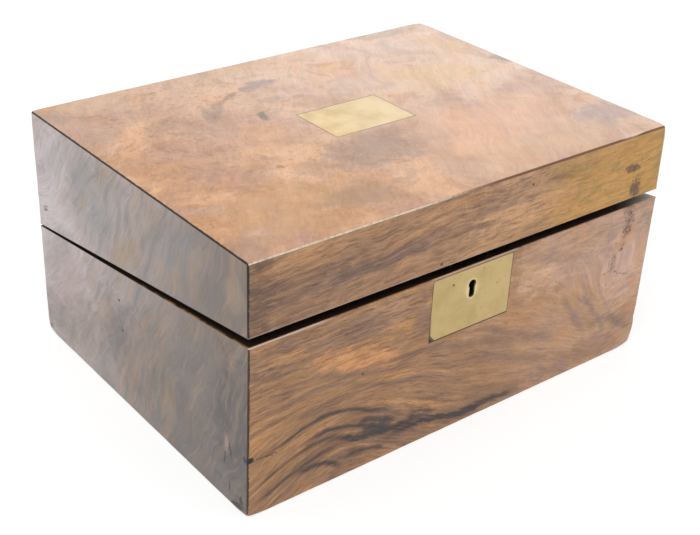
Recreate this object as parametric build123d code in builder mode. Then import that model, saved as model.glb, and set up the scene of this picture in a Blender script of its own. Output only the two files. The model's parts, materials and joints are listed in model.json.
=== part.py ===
"""Writing slope: a veneered box for papers, cut on the slope so that it opens into a writing desk.

Frame: millimetres, +Z up, origin on the table under the middle of the box. The lock side (front)
faces -Y and the hinges are at the back, at +Y. The lid is drawn shut, then stored a few millimetres ajar.
"""

from build123d import *
from math import atan2, cos, degrees, sin
import os

# ------------------------------------------------ driving dimensions (mm)
width = 305.0  # the closed box, left to right
depth = 228.0  # front to back
height = 151.5  # shut
front_cut_height = 108.6  # where the parting cut meets the front
parting_gap = 1.0  # between the two rims when shut
ajar_gap = 5.1  # between the rims at the front, as stored

veneer = 1.0
board = 9.0
panel = 8.0  # bottom board and top board

hinge_stand_off = 0.6  # hinge pins behind the back face
flap_open_share = 1 / 3  # a writing flap lifts a third as far as the lid has turned

# dovetails
tail_count = 6
tail_neck_share = 1 / 3  # half a tail at its neck, as a share of the pitch
tail_flare = 1.5

# writing flaps
flap_board = 6.0
flap_sink = 1.2  # flap face below the rim
flap_play = 0.7
leather = 0.8
leather_margin = 15.0
rail_width = 13.0
rail_thickness = 8.0
ledge = 5.0
ledge_play = 2.0  # ledges stop short of the wall in front, which stands upright
ledge_clearance = 0.1  # under a shut flap
finger_notch_radius = 9.0
finger_notch_stand_off = 3.0  # the notch's centre lies this far outside the flap's edge

# ink compartment, along the front of the case
ink_strip = 46.0
divider = 5.0
partition = 4.0
ink_box = 42.0
shelf_height = 56.0
shelf = 4.0
tray_top = 97.0
tray_height = 14.0
tray_play = 0.5
trough_margin, trough_width, trough_depth, trough_taper = 7.0, 33.0, 10.0, 25.0

# inkwells
bottle_side, bottle_height, bottle_corner, bottle_shoulder = 36.0, 31.0, 2.5, 4.0
neck_radius, neck_height, neck_wall = 8.5, 6.0, 2.0
glass_wall, glass_roof = 5.0, 6.0
cap_radius, cap_height, cap_flange, cap_flange_lip = 11.5, 10.0, 1.5, 1.0
cap_bevel_down, cap_bevel_in = 1.6, 3.2
cap_play = 0.2  # between a cap's flange and the bottle's shoulder

# brass on the outside
name_plate_width, name_plate_depth = 59.0, 39.5
name_plate_x, name_plate_y = 5.0, 2.0
escutcheon_width, escutcheon_height = 60.0, 39.0
escutcheon_centre = -0.9
escutcheon_top = 106.5
keyhole_centre, keyhole_height = -1.3, 95.7
keyhole_radius = 2.8
keyhole_foot = 87.2
keyhole_slot_top, keyhole_slot_foot = 3.9, 4.3
keyhole_bends = [(0.0, 1.6), (0.4, 0.6), (1.3, 0.0)]  # of the foot: how far in, how far up
escutcheon_pin_places = [(-15.9, 99.6), (18.8, 90.2)]
escutcheon_pin_radius, escutcheon_pin_length = 0.8, 3.0

# lock
lock_width, lock_height, lock_depth = 52.0, 27.0, 6.5
lock_plate = 1.2
selvedge_width, selvedge = 60.0, 1.6
stump_places, stump, stump_height, stump_play = [-22.0, 22.0], 3.0, 1.9, 0.1  # the bolt rides on these
plate_screw_x = 28.0
bolt_travel = 5.0
bolt_left, bolt_right, bolt_bottom, bolt_top = -23.5, 18.5, 99.2, 104.9
bolt_front_play, bolt_back_play = 0.2, 0.3
gate_play = 0.5
finger_width, finger_play = 1.3, 0.2  # the bolt's fingers, that pass through the lugs' eyes
talon_width, talon_height = 5.0, 2.3  # the notch that the key's bit turns in
spring_thickness, spring_play = 0.5, 0.4
spring_foot_x, spring_bow, spring_tip_x = -22.6, (-20.5, 92.0), -12.5
lug_places = [-14.0, 14.0]
lug_thickness, lug_width = 2.0, 2.8
lug_foot, lug_play, slot_play = 101.2, 0.4, 0.1
link_screw_x = 27.0
eye_bottom, eye_top, eye_width = 102.2, 104.2, 1.8
running_gap = 0.3
rim_margin = 5.0  # blocks are drawn this far past the rim before the cut trims them

# hinges
main_hinge_places = [-95.0, 95.0]
main_hinge_width, main_leaf_reach, main_leaf = 40.0, 9.4, 1.2
main_knuckle_radius, main_pin_radius, main_knuckles = 2.5, 1.1, 3
main_screw_offsets, main_screw_line = (-12.0, 12.0), 6.2  # along the leaf, and from the pin line
flap_hinge_places = [-85.0, 85.0]
flap_hinge_width, flap_leaf_reach, flap_leaf = 30.0, 9.0, 0.8
flap_knuckle_radius, flap_pin_radius, flap_knuckles = 1.4, 0.6, 3
pin_clearance = 0.05
knuckle_gap = 0.2
screw_head_depth = 0.9
main_screw = (1.7, 0.8, 9.0)  # head radius, shank radius, length
lock_screw = (1.4, 0.7, 9.0)

# ------------------------------------------------ worked-out places
wall = board + veneer
half_w, half_d = width / 2, depth / 2
inner_w, inner_d = half_w - wall, half_d - wall
hinge_y, hinge_z = half_d + hinge_stand_off, height / 2
slope = atan2(front_cut_height - hinge_z, half_d + hinge_y)
up = (0, sin(slope), cos(slope))
down = (0, -sin(slope), -cos(slope))
hinge_point = (0, hinge_y, hinge_z)
hinge_axis = Axis(hinge_point, (1, 0, 0))
ajar = degrees(atan2(ajar_gap - parting_gap, depth))

# The parting planes run through the hinge axis: local x is +X, local y runs down the slope to the back.
parting = Plane(origin=hinge_point, x_dir=(1, 0, 0), z_dir=up)
case_rim = parting.offset(-parting_gap / 2)
lid_rim = parting.offset(parting_gap / 2)
lid_rim_face = Plane(origin=lid_rim.origin, x_dir=(1, 0, 0), z_dir=down)


def slope_y(y):
    """Local y on the parting planes of a point at y in the box."""
    return (y - hinge_y) / cos(slope)


def block(x_range, y_range, z_range):
    """A plain block between three pairs of faces."""
    with BuildPart() as solid:
        with BuildSketch(Plane.XY.offset(z_range[0])):
            with Locations(((x_range[0] + x_range[1]) / 2, (y_range[0] + y_range[1]) / 2)):
                Rectangle(x_range[1] - x_range[0], y_range[1] - y_range[0])
        extrude(amount=z_range[1] - z_range[0])
    return solid.part


def below(part, plane):
    """The stretch of a part under a plane."""
    with BuildPart() as kept:
        add(part)
        split(bisect_by=plane, keep=Keep.BOTTOM)
    return kept.part


def above(part, plane):
    """The stretch of a part over a plane."""
    with BuildPart() as kept:
        add(part)
        split(bisect_by=plane, keep=Keep.TOP)
    return kept.part


# ------------------------------------------------ hinges and screws
def pin_plane(plane, x):
    """The plane across a hinge's pin, x along it."""
    return Plane(origin=plane.origin + plane.x_dir * x, z_dir=plane.x_dir)


def knuckle_spans(hinge_width, knuckles, first):
    """Every second knuckle along a hinge, from the knuckle numbered first."""
    pitch = hinge_width / knuckles
    starts = [-hinge_width / 2 + k * pitch for k in range(first, knuckles, 2)]
    return [(x + knuckle_gap / 2, x + pitch - knuckle_gap / 2) for x in starts]


def hinge_leaves(plane, places, hinge_width, reach, low, leaf, radius, pin_radius, knuckles, first):
    """One leaf of each hinge along a pin line, with its knuckles. Local y is the way the leaf reaches."""
    with BuildPart() as leaves:
        with BuildSketch(plane.offset(low)):
            with Locations(*[(x, reach / 2) for x in places]):
                Rectangle(hinge_width, reach)
        extrude(amount=leaf)
        for place in places:
            for x0, x1 in knuckle_spans(hinge_width, knuckles, 1 - first):
                with BuildSketch(pin_plane(plane, place + x0 - knuckle_gap)):
                    Circle(radius + running_gap)
                extrude(amount=x1 - x0 + 2 * knuckle_gap, mode=Mode.SUBTRACT)
            for x0, x1 in knuckle_spans(hinge_width, knuckles, first):
                with BuildSketch(pin_plane(plane, place + x0)):
                    Circle(radius)
                extrude(amount=x1 - x0)
            with BuildSketch(pin_plane(plane, place - hinge_width / 2)):
                Circle(pin_radius + pin_clearance)
            extrude(amount=hinge_width, mode=Mode.SUBTRACT)
    return leaves.part


def hinge_beds(plane, places, hinge_width, reach, low, leaf, radius):
    """The room that a leaf and its barrel take out of the wood."""
    with BuildPart() as beds:
        with BuildSketch(plane.offset(low)):
            with Locations(*[(x, reach / 2) for x in places]):
                Rectangle(hinge_width, reach)
        extrude(amount=leaf)
        for place in places:
            with BuildSketch(pin_plane(plane, place - hinge_width / 2 - running_gap)):
                Circle(radius + running_gap)
            extrude(amount=hinge_width + 2 * running_gap)
    return beds.part


def hinge_pins(plane, places, hinge_width, pin_radius):
    """The pins of the hinges along one line."""
    with BuildPart() as pins:
        for place in places:
            with BuildSketch(pin_plane(plane, place - hinge_width / 2)):
                Circle(pin_radius)
            extrude(amount=hinge_width)
    return pins.part


def countersunk_screws(plane, places, head_radius, shank_radius, length):
    """Screws driven square into a plane, heads flush with it."""
    top = (Align.CENTER, Align.CENTER, Align.MAX)
    with BuildPart(plane) as screws:
        with Locations(*[(x, y, 0) for x, y in places]):
            Cone(shank_radius, head_radius, screw_head_depth, align=top)
            Cylinder(shank_radius, length, align=top)
    return screws.part


case_leaf_plane = Plane(origin=hinge_point, x_dir=(1, 0, 0), z_dir=down)
lid_leaf_plane = Plane(origin=hinge_point, x_dir=(-1, 0, 0), z_dir=up)
main_hinge = (main_hinge_places, main_hinge_width, main_leaf_reach, parting_gap / 2, main_leaf)
main_barrel = (main_knuckle_radius, main_pin_radius, main_knuckles)
main_screw_places = [(x + dx, main_screw_line) for x in main_hinge_places for dx in main_screw_offsets]
case_screw_places = [(x, -y) for x, y in main_screw_places]

with BuildPart() as main_hinge_case_screws:
    add(countersunk_screws(case_rim, case_screw_places, *main_screw))

with BuildPart() as main_hinge_lid_screws:
    add(countersunk_screws(lid_rim_face, main_screw_places, *main_screw))

with BuildPart() as main_hinge_case_leaves:
    add(hinge_leaves(case_leaf_plane, *main_hinge, *main_barrel, 0))
    add(main_hinge_case_screws.part, mode=Mode.SUBTRACT)

with BuildPart() as main_hinge_lid_leaves:
    add(hinge_leaves(lid_leaf_plane, *main_hinge, *main_barrel, 1))
    add(main_hinge_lid_screws.part, mode=Mode.SUBTRACT)

with BuildPart() as main_hinge_pins:
    add(hinge_pins(case_leaf_plane, main_hinge_places, main_hinge_width, main_pin_radius))

case_hinge_beds = hinge_beds(case_leaf_plane, *main_hinge, main_knuckle_radius)
lid_hinge_beds = hinge_beds(lid_leaf_plane, *main_hinge, main_knuckle_radius)

# ------------------------------------------------ lock, in the middle of the front
lock_front_y, lock_back_y = -inner_d - lock_depth, -inner_d
lock_x = (-lock_width / 2, lock_width / 2)
lock_y = (lock_front_y, lock_back_y)
selvedge_x = (-selvedge_width / 2, selvedge_width / 2)
lock_foot = front_cut_height - lock_height
over_rim = front_cut_height + rim_margin
under_selvedge = case_rim.offset(-selvedge)
cavity_x = (lock_x[0] + lock_plate, lock_x[1] - lock_plate)
cavity_y = (lock_front_y + lock_plate, lock_back_y - lock_plate)
cavity_foot = lock_foot + lock_plate
lug_y = (cavity_y[0] + lug_play, cavity_y[0] + lug_play + lug_width)
lug_mid_y = sum(lug_y) / 2
bolt_y = (cavity_y[0] + bolt_front_play, cavity_y[1] - bolt_back_play)
lock_screw_y = slope_y(sum(lock_y) / 2)

with BuildPart() as lock_room:
    add(below(block(lock_x, lock_y, (lock_foot, over_rim)), case_rim))
    add(above(below(block(selvedge_x, lock_y, (lock_foot, over_rim)), case_rim), under_selvedge))

keyhole_left, keyhole_right = keyhole_centre - keyhole_slot_foot / 2, keyhole_centre + keyhole_slot_foot / 2

with BuildPart() as keyhole:
    with BuildSketch(Plane.XZ.offset(-lock_back_y + lock_plate)):
        with Locations((keyhole_centre, keyhole_height)):
            Circle(keyhole_radius)
        with BuildLine():
            Polyline(
                (keyhole_centre - keyhole_slot_top / 2, keyhole_height),
                *[(keyhole_left + a, keyhole_foot + b) for a, b in keyhole_bends],
                *[(keyhole_right - a, keyhole_foot + b) for a, b in reversed(keyhole_bends)],
                (keyhole_centre + keyhole_slot_top / 2, keyhole_height),
                close=True,
            )
        make_face()
    extrude(amount=wall)

with BuildPart() as lock_screws:
    plate_screw_places = [(-plate_screw_x, lock_screw_y), (plate_screw_x, lock_screw_y)]
    add(countersunk_screws(case_rim, plate_screw_places, *lock_screw))

with BuildPart() as lock_case:
    add(lock_room.part)
    add(
        below(block(cavity_x, (cavity_y[0], lock_back_y), (cavity_foot, over_rim)), under_selvedge),
        mode=Mode.SUBTRACT,
    )
    for x in lug_places:
        slot_x = (x - lug_thickness / 2 - running_gap, x + lug_thickness / 2 + running_gap)
        add(block(slot_x, (cavity_y[0] + slot_play, cavity_y[1]), (lug_foot, over_rim)), mode=Mode.SUBTRACT)
    stump_z = (bolt_bottom - stump_play - stump_height, bolt_bottom - stump_play)
    for x in stump_places:
        add(block((x - stump / 2, x + stump / 2), cavity_y, stump_z))
    add(keyhole.part, mode=Mode.SUBTRACT)
    add(lock_screws.part, mode=Mode.SUBTRACT)

with BuildPart() as lock_cap:
    add(below(block(cavity_x, (cavity_y[1], lock_back_y), (cavity_foot, over_rim)), under_selvedge))

with BuildPart() as lock_spring:
    spring_foot = (spring_foot_x, cavity_foot + spring_play)
    with BuildSketch(Plane.XZ.offset(-bolt_y[1])):
        with BuildLine():
            ThreePointArc(spring_foot, spring_bow, (spring_tip_x, bolt_bottom - spring_thickness))
        trace(line_width=spring_thickness)
    extrude(amount=bolt_y[1] - bolt_y[0])

with BuildPart() as lock_bolt:
    gate_left = lug_thickness / 2 + bolt_travel + gate_play
    gate_right = lug_thickness / 2 + running_gap
    gate_z = (lug_foot - running_gap, bolt_top)
    finger_y = (lug_mid_y - finger_width / 2, lug_mid_y + finger_width / 2)
    finger_z = (eye_bottom + finger_play, eye_top - finger_play)
    talon_x = (-talon_width / 2, talon_width / 2)
    add(block((bolt_left, bolt_right), bolt_y, (bolt_bottom, bolt_top)))
    for x in lug_places:
        add(block((x - gate_left, x + gate_right), bolt_y, gate_z), mode=Mode.SUBTRACT)
        finger_x = (x - gate_left, x - lug_thickness / 2 - running_gap)
        add(block(finger_x, finger_y, finger_z))
    add(block(talon_x, bolt_y, (bolt_bottom, bolt_bottom + talon_height)), mode=Mode.SUBTRACT)

# the lid's half: a plate in the rim with two eyed lugs that drop through the selvedge
with BuildPart() as link_plate_screws:
    link_screw_places = [(-link_screw_x, -lock_screw_y), (link_screw_x, -lock_screw_y)]
    add(countersunk_screws(lid_rim_face, link_screw_places, *lock_screw))

with BuildPart() as link_room:
    plate_block = block(selvedge_x, lock_y, (lock_foot, over_rim))
    add(below(above(plate_block, lid_rim), lid_rim.offset(selvedge)))

with BuildPart() as link_plate:
    add(link_room.part)
    eye_y = (lug_mid_y - eye_width / 2, lug_mid_y + eye_width / 2)
    for x in lug_places:
        lug_x = (x - lug_thickness / 2, x + lug_thickness / 2)
        add(below(block(lug_x, lug_y, (lug_foot, over_rim)), lid_rim.offset(selvedge / 2)))
        add(block(lug_x, eye_y, (eye_bottom, eye_top)), mode=Mode.SUBTRACT)
    add(link_plate_screws.part, mode=Mode.SUBTRACT)

# ------------------------------------------------ carcass: one closed box, sawn on the slope
carcass_z = (panel, height - veneer - panel)
shoulder_y = half_d - wall
tail_pitch = (carcass_z[1] - carcass_z[0]) / tail_count


def side_board(x):
    """A whole side board standing at x, with its dovetails front and back."""
    with BuildPart() as side:
        with BuildSketch(Plane.YZ.offset(x)):
            with Locations((0, sum(carcass_z) / 2)):
                Rectangle(2 * shoulder_y, carcass_z[1] - carcass_z[0])
            for k in range(tail_count):
                z = carcass_z[0] + (k + 0.5) * tail_pitch
                neck = tail_pitch * tail_neck_share
                end = neck + tail_flare
                for face in (-1, 1):
                    with BuildLine():
                        Polyline(
                            (face * shoulder_y, z - neck),
                            (face * (shoulder_y + board), z - end),
                            (face * (shoulder_y + board), z + end),
                            (face * shoulder_y, z + neck),
                            close=True,
                        )
                    make_face()
        extrude(amount=board)
    return side.part


left_side = side_board(-half_w + veneer)
right_side = side_board(half_w - wall)
board_x = (-half_w + veneer, half_w - veneer)


def end_board(y_range):
    """A whole front or back board, with the sockets that the side boards' dovetails fill."""
    with BuildPart() as end:
        add(block(board_x, y_range, carcass_z))
        add(left_side, mode=Mode.SUBTRACT)
        add(right_side, mode=Mode.SUBTRACT)
    return end.part


front_end = end_board((-half_d + veneer, -inner_d))
back_end = end_board((inner_d, half_d - veneer))

with BuildPart() as escutcheon_pins:
    for x, z in escutcheon_pin_places:
        with BuildSketch(Plane.XZ.offset(half_d - escutcheon_pin_length)):
            with Locations((x, z)):
                Circle(escutcheon_pin_radius)
        extrude(amount=escutcheon_pin_length)

with BuildPart() as case_left_board:
    add(below(left_side, case_rim))

with BuildPart() as case_right_board:
    add(below(right_side, case_rim))

with BuildPart() as case_front_board:
    add(below(front_end, case_rim))
    add(lock_room.part, mode=Mode.SUBTRACT)
    add(keyhole.part, mode=Mode.SUBTRACT)
    add(lock_screws.part, mode=Mode.SUBTRACT)
    add(escutcheon_pins.part, mode=Mode.SUBTRACT)

with BuildPart() as case_back_board:
    add(below(back_end, case_rim))
    add(case_hinge_beds, mode=Mode.SUBTRACT)
    add(main_hinge_case_screws.part, mode=Mode.SUBTRACT)

with BuildPart() as case_bottom_board:
    add(block(board_x, (-half_d + veneer, half_d - veneer), (0, panel)))

with BuildPart() as lid_left_board:
    add(above(left_side, lid_rim))

with BuildPart() as lid_right_board:
    add(above(right_side, lid_rim))

with BuildPart() as lid_front_board:
    add(above(front_end, lid_rim))
    add(link_room.part, mode=Mode.SUBTRACT)
    add(link_plate_screws.part, mode=Mode.SUBTRACT)

with BuildPart() as lid_back_board:
    add(above(back_end, lid_rim))
    add(lid_hinge_beds, mode=Mode.SUBTRACT)
    add(main_hinge_lid_screws.part, mode=Mode.SUBTRACT)

with BuildPart() as lid_top_board:
    add(block(board_x, (-half_d + veneer, half_d - veneer), (carcass_z[1], carcass_z[1] + panel)))

# ------------------------------------------------ veneers and the brass let into them
veneer_z = (0, height - veneer)
front_sheet = block((-half_w, half_w), (-half_d, -half_d + veneer), veneer_z)
back_sheet = block((-half_w, half_w), (half_d - veneer, half_d), veneer_z)
left_sheet = block((-half_w, -half_w + veneer), (-half_d + veneer, half_d - veneer), veneer_z)
right_sheet = block((half_w - veneer, half_w), (-half_d + veneer, half_d - veneer), veneer_z)
escutcheon_z = (escutcheon_top - escutcheon_height, escutcheon_top)
escutcheon_x = (escutcheon_centre - escutcheon_width / 2, escutcheon_centre + escutcheon_width / 2)
escutcheon_room = block(escutcheon_x, (-half_d, -half_d + veneer), escutcheon_z)

with BuildPart() as escutcheon_plate:
    add(escutcheon_room)
    add(keyhole.part, mode=Mode.SUBTRACT)
    add(escutcheon_pins.part, mode=Mode.SUBTRACT)

with BuildPart() as case_front_veneer:
    add(below(front_sheet, case_rim))
    add(escutcheon_room, mode=Mode.SUBTRACT)

with BuildPart() as case_back_veneer:
    add(below(back_sheet, case_rim))
    add(case_hinge_beds, mode=Mode.SUBTRACT)

with BuildPart() as case_left_veneer:
    add(below(left_sheet, case_rim))

with BuildPart() as case_right_veneer:
    add(below(right_sheet, case_rim))

with BuildPart() as lid_front_veneer:
    add(above(front_sheet, lid_rim))

with BuildPart() as lid_back_veneer:
    add(above(back_sheet, lid_rim))
    add(lid_hinge_beds, mode=Mode.SUBTRACT)

with BuildPart() as lid_left_veneer:
    add(above(left_sheet, lid_rim))

with BuildPart() as lid_right_veneer:
    add(above(right_sheet, lid_rim))

with BuildPart() as name_plate:
    with BuildSketch(Plane.XY.offset(height - veneer)):
        with Locations((name_plate_x, name_plate_y)):
            Rectangle(name_plate_width, name_plate_depth)
    extrude(amount=veneer)

with BuildPart() as lid_top_veneer:
    add(block((-half_w, half_w), (-half_d, half_d), (height - veneer, height)))
    add(name_plate.part, mode=Mode.SUBTRACT)

# ------------------------------------------------ writing flaps, one in each half
well_room = block((-inner_w, inner_w), (-inner_d, inner_d), (0, height))
flap_back = slope_y(inner_d) - rail_width  # the small hinges' pin line, on the slope
case_flap_front = slope_y(-inner_d + ink_strip + divider) + flap_play + flap_board * sin(slope)
lid_flap_front = slope_y(-inner_d) + flap_play
flap_x = (-inner_w + flap_play, inner_w - flap_play)
case_face = case_rim.offset(-flap_sink)
case_flap_point = case_face.from_local_coords((0, flap_back, 0))
lid_flap_point = lid_rim.offset(flap_sink).from_local_coords((0, flap_back, 0))
flap_hinge = (flap_hinge_places, flap_hinge_width, flap_leaf_reach, -flap_leaf, flap_leaf)
flap_barrel = (flap_knuckle_radius, flap_pin_radius, flap_knuckles)


def flap_planes(point, face_up):
    """The planes of a small hinge's two leaves, at a pin line. face_up points out of the wood."""
    rail_x = (1, 0, 0) if face_up is up else (-1, 0, 0)
    flap_x_dir = (-1, 0, 0) if face_up is up else (1, 0, 0)
    rail_plane = Plane(origin=point, x_dir=rail_x, z_dir=face_up)
    return rail_plane, Plane(origin=point, x_dir=flap_x_dir, z_dir=face_up)


case_rail_plane, case_flap_plane = flap_planes(case_flap_point, up)
lid_rail_plane, lid_flap_plane = flap_planes(lid_flap_point, down)


def slab(flap_plane, x_range, front, back, top, bottom):
    """A slab on the slope: front and back lie that far from the pin line, top and bottom off the face."""
    with BuildPart() as solid:
        with BuildSketch(flap_plane.offset(bottom)):
            with Locations(((x_range[0] + x_range[1]) / 2, (front + back) / 2)):
                Rectangle(x_range[1] - x_range[0], front - back)
        extrude(amount=top - bottom)
    return solid.part


def flap_wood(flap_plane, reach):
    """A flap's board: a sunk field for the leather, beds for the small hinges, and a place for a finger."""
    with BuildPart() as wood:
        add(slab(flap_plane, flap_x, reach, flap_play / 2, 0, -flap_board))
        add(leather_field(flap_plane, reach), mode=Mode.SUBTRACT)
        add(hinge_beds(flap_plane, *flap_hinge, flap_knuckle_radius), mode=Mode.SUBTRACT)
        with BuildSketch(flap_plane.offset(-flap_board)):
            with Locations((0, reach + finger_notch_stand_off)):
                Circle(finger_notch_radius)
        extrude(amount=flap_board, mode=Mode.SUBTRACT)
    return wood.part


def leather_field(flap_plane, reach):
    """The writing leather of a flap, or the field it lies in."""
    field_x = (flap_x[0] + leather_margin, flap_x[1] - leather_margin)
    return slab(flap_plane, field_x, reach - leather_margin, leather_margin, 0, -leather)


def hinge_rail(rail_plane):
    """The rail along the back wall that carries the small hinges."""
    with BuildPart() as rail:
        add(slab(rail_plane, (-inner_w, inner_w), 2 * rail_width, flap_play / 2, 0, -rail_thickness))
        add(well_room, mode=Mode.INTERSECT)
        add(hinge_beds(rail_plane, *flap_hinge, flap_knuckle_radius), mode=Mode.SUBTRACT)
    return rail.part


def flap_ledges(flap_plane, reach):
    """The two strips under a flap, along the side walls."""
    front, foot = reach - ledge_play, -flap_board - ledge
    with BuildPart() as ledges:
        for x_range in ((-inner_w, -inner_w + ledge), (inner_w - ledge, inner_w)):
            add(slab(flap_plane, x_range, front, flap_play / 2, -flap_board - ledge_clearance, foot))
    return ledges.part


case_flap_reach = flap_back - case_flap_front
lid_flap_reach = flap_back - lid_flap_front

with BuildPart() as case_hinge_rail:
    add(hinge_rail(case_rail_plane))

with BuildPart() as case_flap_ledges:
    add(flap_ledges(case_flap_plane, case_flap_reach))

with BuildPart() as case_flap_board:
    add(flap_wood(case_flap_plane, case_flap_reach))

with BuildPart() as case_flap_leather:
    add(leather_field(case_flap_plane, case_flap_reach))

with BuildPart() as case_rail_leaves:
    add(hinge_leaves(case_rail_plane, *flap_hinge, *flap_barrel, 0))

with BuildPart() as case_flap_leaves:
    add(hinge_leaves(case_flap_plane, *flap_hinge, *flap_barrel, 1))

with BuildPart() as case_flap_pins:
    add(hinge_pins(case_rail_plane, flap_hinge_places, flap_hinge_width, flap_pin_radius))

with BuildPart() as lid_hinge_rail:
    add(hinge_rail(lid_rail_plane))

with BuildPart() as lid_flap_ledges:
    add(flap_ledges(lid_flap_plane, lid_flap_reach))

with BuildPart() as lid_flap_board:
    add(flap_wood(lid_flap_plane, lid_flap_reach))

with BuildPart() as lid_flap_leather:
    add(leather_field(lid_flap_plane, lid_flap_reach))

with BuildPart() as lid_rail_leaves:
    add(hinge_leaves(lid_rail_plane, *flap_hinge, *flap_barrel, 0))

with BuildPart() as lid_flap_leaves:
    add(hinge_leaves(lid_flap_plane, *flap_hinge, *flap_barrel, 1))

with BuildPart() as lid_flap_pins:
    add(hinge_pins(lid_rail_plane, flap_hinge_places, flap_hinge_width, flap_pin_radius))

# ------------------------------------------------ ink compartment
divider_y = (-inner_d + ink_strip, -inner_d + ink_strip + divider)
strip_y = (-inner_d, divider_y[0])
partition_x = inner_w - ink_box
shelf_top = shelf_height
tray_x = partition_x - partition - tray_play
tray_y = (strip_y[0] + tray_play, strip_y[1] - tray_play)

with BuildPart() as ink_divider:
    add(below(block((-inner_w, inner_w), divider_y, (panel, over_rim)), case_face))

with BuildPart() as ink_shelf:
    add(block((-inner_w, inner_w), strip_y, (shelf_top - shelf, shelf_top)))

with BuildPart() as ink_partitions:
    for side in (-1, 1):
        x_range = sorted((side * partition_x, side * (partition_x - partition)))
        add(below(block(x_range, strip_y, (shelf_top, over_rim)), case_face))
        rest_x = sorted((side * (partition_x - partition), side * (partition_x - 2 * partition)))
        add(block(rest_x, strip_y, (shelf_top, tray_top - tray_height)))

with BuildPart() as pen_tray:
    add(block((-tray_x, tray_x), tray_y, (tray_top - tray_height, tray_top)))
    with BuildSketch(Plane.XY.offset(tray_top)):
        with Locations((0, sum(tray_y) / 2)):
            Rectangle(2 * (tray_x - trough_margin), trough_width)
    extrude(amount=-trough_depth, taper=trough_taper, mode=Mode.SUBTRACT)

bottle_y = sum(strip_y) / 2
bottle_x = inner_w - ink_box / 2


def inkwell_bottle(x):
    """A square glass bottle with a square ink chamber, chamfered shoulders and a short neck."""
    with BuildPart() as bottle:
        with BuildSketch(Plane.XY.offset(shelf_top)):
            with Locations((x, bottle_y)):
                Rectangle(bottle_side, bottle_side)
        extrude(amount=bottle_height)
        chamfer(bottle.edges().filter_by(Axis.Z), length=bottle_corner)
        chamfer(bottle.faces().sort_by(Axis.Z)[-1].edges(), length=bottle_shoulder)
        with BuildSketch(Plane.XY.offset(shelf_top + bottle_height)):
            with Locations((x, bottle_y)):
                Circle(neck_radius)
        extrude(amount=neck_height)
        with BuildSketch(Plane.XY.offset(shelf_top + glass_wall)):
            with Locations((x, bottle_y)):
                Circle(neck_radius - neck_wall)
        extrude(amount=bottle_height, mode=Mode.SUBTRACT)
        with BuildSketch(Plane.XY.offset(shelf_top + glass_wall)):
            with Locations((x, bottle_y)):
                Rectangle(bottle_side - 2 * glass_wall, bottle_side - 2 * glass_wall)
        extrude(amount=bottle_height - glass_wall - glass_roof, mode=Mode.SUBTRACT)
    return bottle.part


def inkwell_cap(x):
    """A turned brass cap over a bottle's neck: a bevelled drum on a thin flange."""
    foot = shelf_top + bottle_height + cap_play
    with BuildPart() as cap:
        with BuildSketch(Plane.XY.offset(foot)):
            with Locations((x, bottle_y)):
                Circle(cap_radius - cap_flange_lip)
        extrude(amount=cap_height)
        chamfer(cap.edges().sort_by(Axis.Z)[-1], length=cap_bevel_down, length2=cap_bevel_in)
        with BuildSketch(Plane.XY.offset(foot)):
            with Locations((x, bottle_y)):
                Circle(cap_radius)
        extrude(amount=cap_flange)
        with BuildSketch(Plane.XY.offset(foot)):
            with Locations((x, bottle_y)):
                Circle(neck_radius)
        extrude(amount=neck_height, mode=Mode.SUBTRACT)
    return cap.part


with BuildPart() as left_inkwell_bottle:
    add(inkwell_bottle(-bottle_x))

with BuildPart() as right_inkwell_bottle:
    add(inkwell_bottle(bottle_x))

with BuildPart() as left_inkwell_cap:
    add(inkwell_cap(-bottle_x))

with BuildPart() as right_inkwell_cap:
    add(inkwell_cap(bottle_x))

# ------------------------------------------------ the four moving groups, and writing them out
case_pieces = {
    "case_front_board": case_front_board,
    "case_back_board": case_back_board,
    "case_left_board": case_left_board,
    "case_right_board": case_right_board,
    "case_bottom_board": case_bottom_board,
    "case_front_veneer": case_front_veneer,
    "case_back_veneer": case_back_veneer,
    "case_left_veneer": case_left_veneer,
    "case_right_veneer": case_right_veneer,
    "escutcheon_plate": escutcheon_plate,
    "escutcheon_pins": escutcheon_pins,
    "lock_case": lock_case,
    "lock_cap": lock_cap,
    "lock_spring": lock_spring,
    "lock_screws": lock_screws,
    "lock_bolt": lock_bolt,
    "main_hinge_case_leaves": main_hinge_case_leaves,
    "main_hinge_pins": main_hinge_pins,
    "main_hinge_case_screws": main_hinge_case_screws,
    "case_hinge_rail": case_hinge_rail,
    "case_flap_ledges": case_flap_ledges,
    "case_rail_leaves": case_rail_leaves,
    "case_flap_pins": case_flap_pins,
    "ink_divider": ink_divider,
    "ink_partitions": ink_partitions,
    "ink_shelf": ink_shelf,
    "pen_tray": pen_tray,
    "left_inkwell_bottle": left_inkwell_bottle,
    "right_inkwell_bottle": right_inkwell_bottle,
    "left_inkwell_cap": left_inkwell_cap,
    "right_inkwell_cap": right_inkwell_cap,
}
case_flap_pieces = {
    "case_flap_board": case_flap_board,
    "case_flap_leather": case_flap_leather,
    "case_flap_leaves": case_flap_leaves,
}
lid_pieces = {
    "lid_front_board": lid_front_board,
    "lid_back_board": lid_back_board,
    "lid_left_board": lid_left_board,
    "lid_right_board": lid_right_board,
    "lid_top_board": lid_top_board,
    "lid_front_veneer": lid_front_veneer,
    "lid_back_veneer": lid_back_veneer,
    "lid_left_veneer": lid_left_veneer,
    "lid_right_veneer": lid_right_veneer,
    "lid_top_veneer": lid_top_veneer,
    "name_plate": name_plate,
    "link_plate": link_plate,
    "link_plate_screws": link_plate_screws,
    "main_hinge_lid_leaves": main_hinge_lid_leaves,
    "main_hinge_lid_screws": main_hinge_lid_screws,
    "lid_hinge_rail": lid_hinge_rail,
    "lid_flap_ledges": lid_flap_ledges,
    "lid_rail_leaves": lid_rail_leaves,
    "lid_flap_pins": lid_flap_pins,
}
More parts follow.
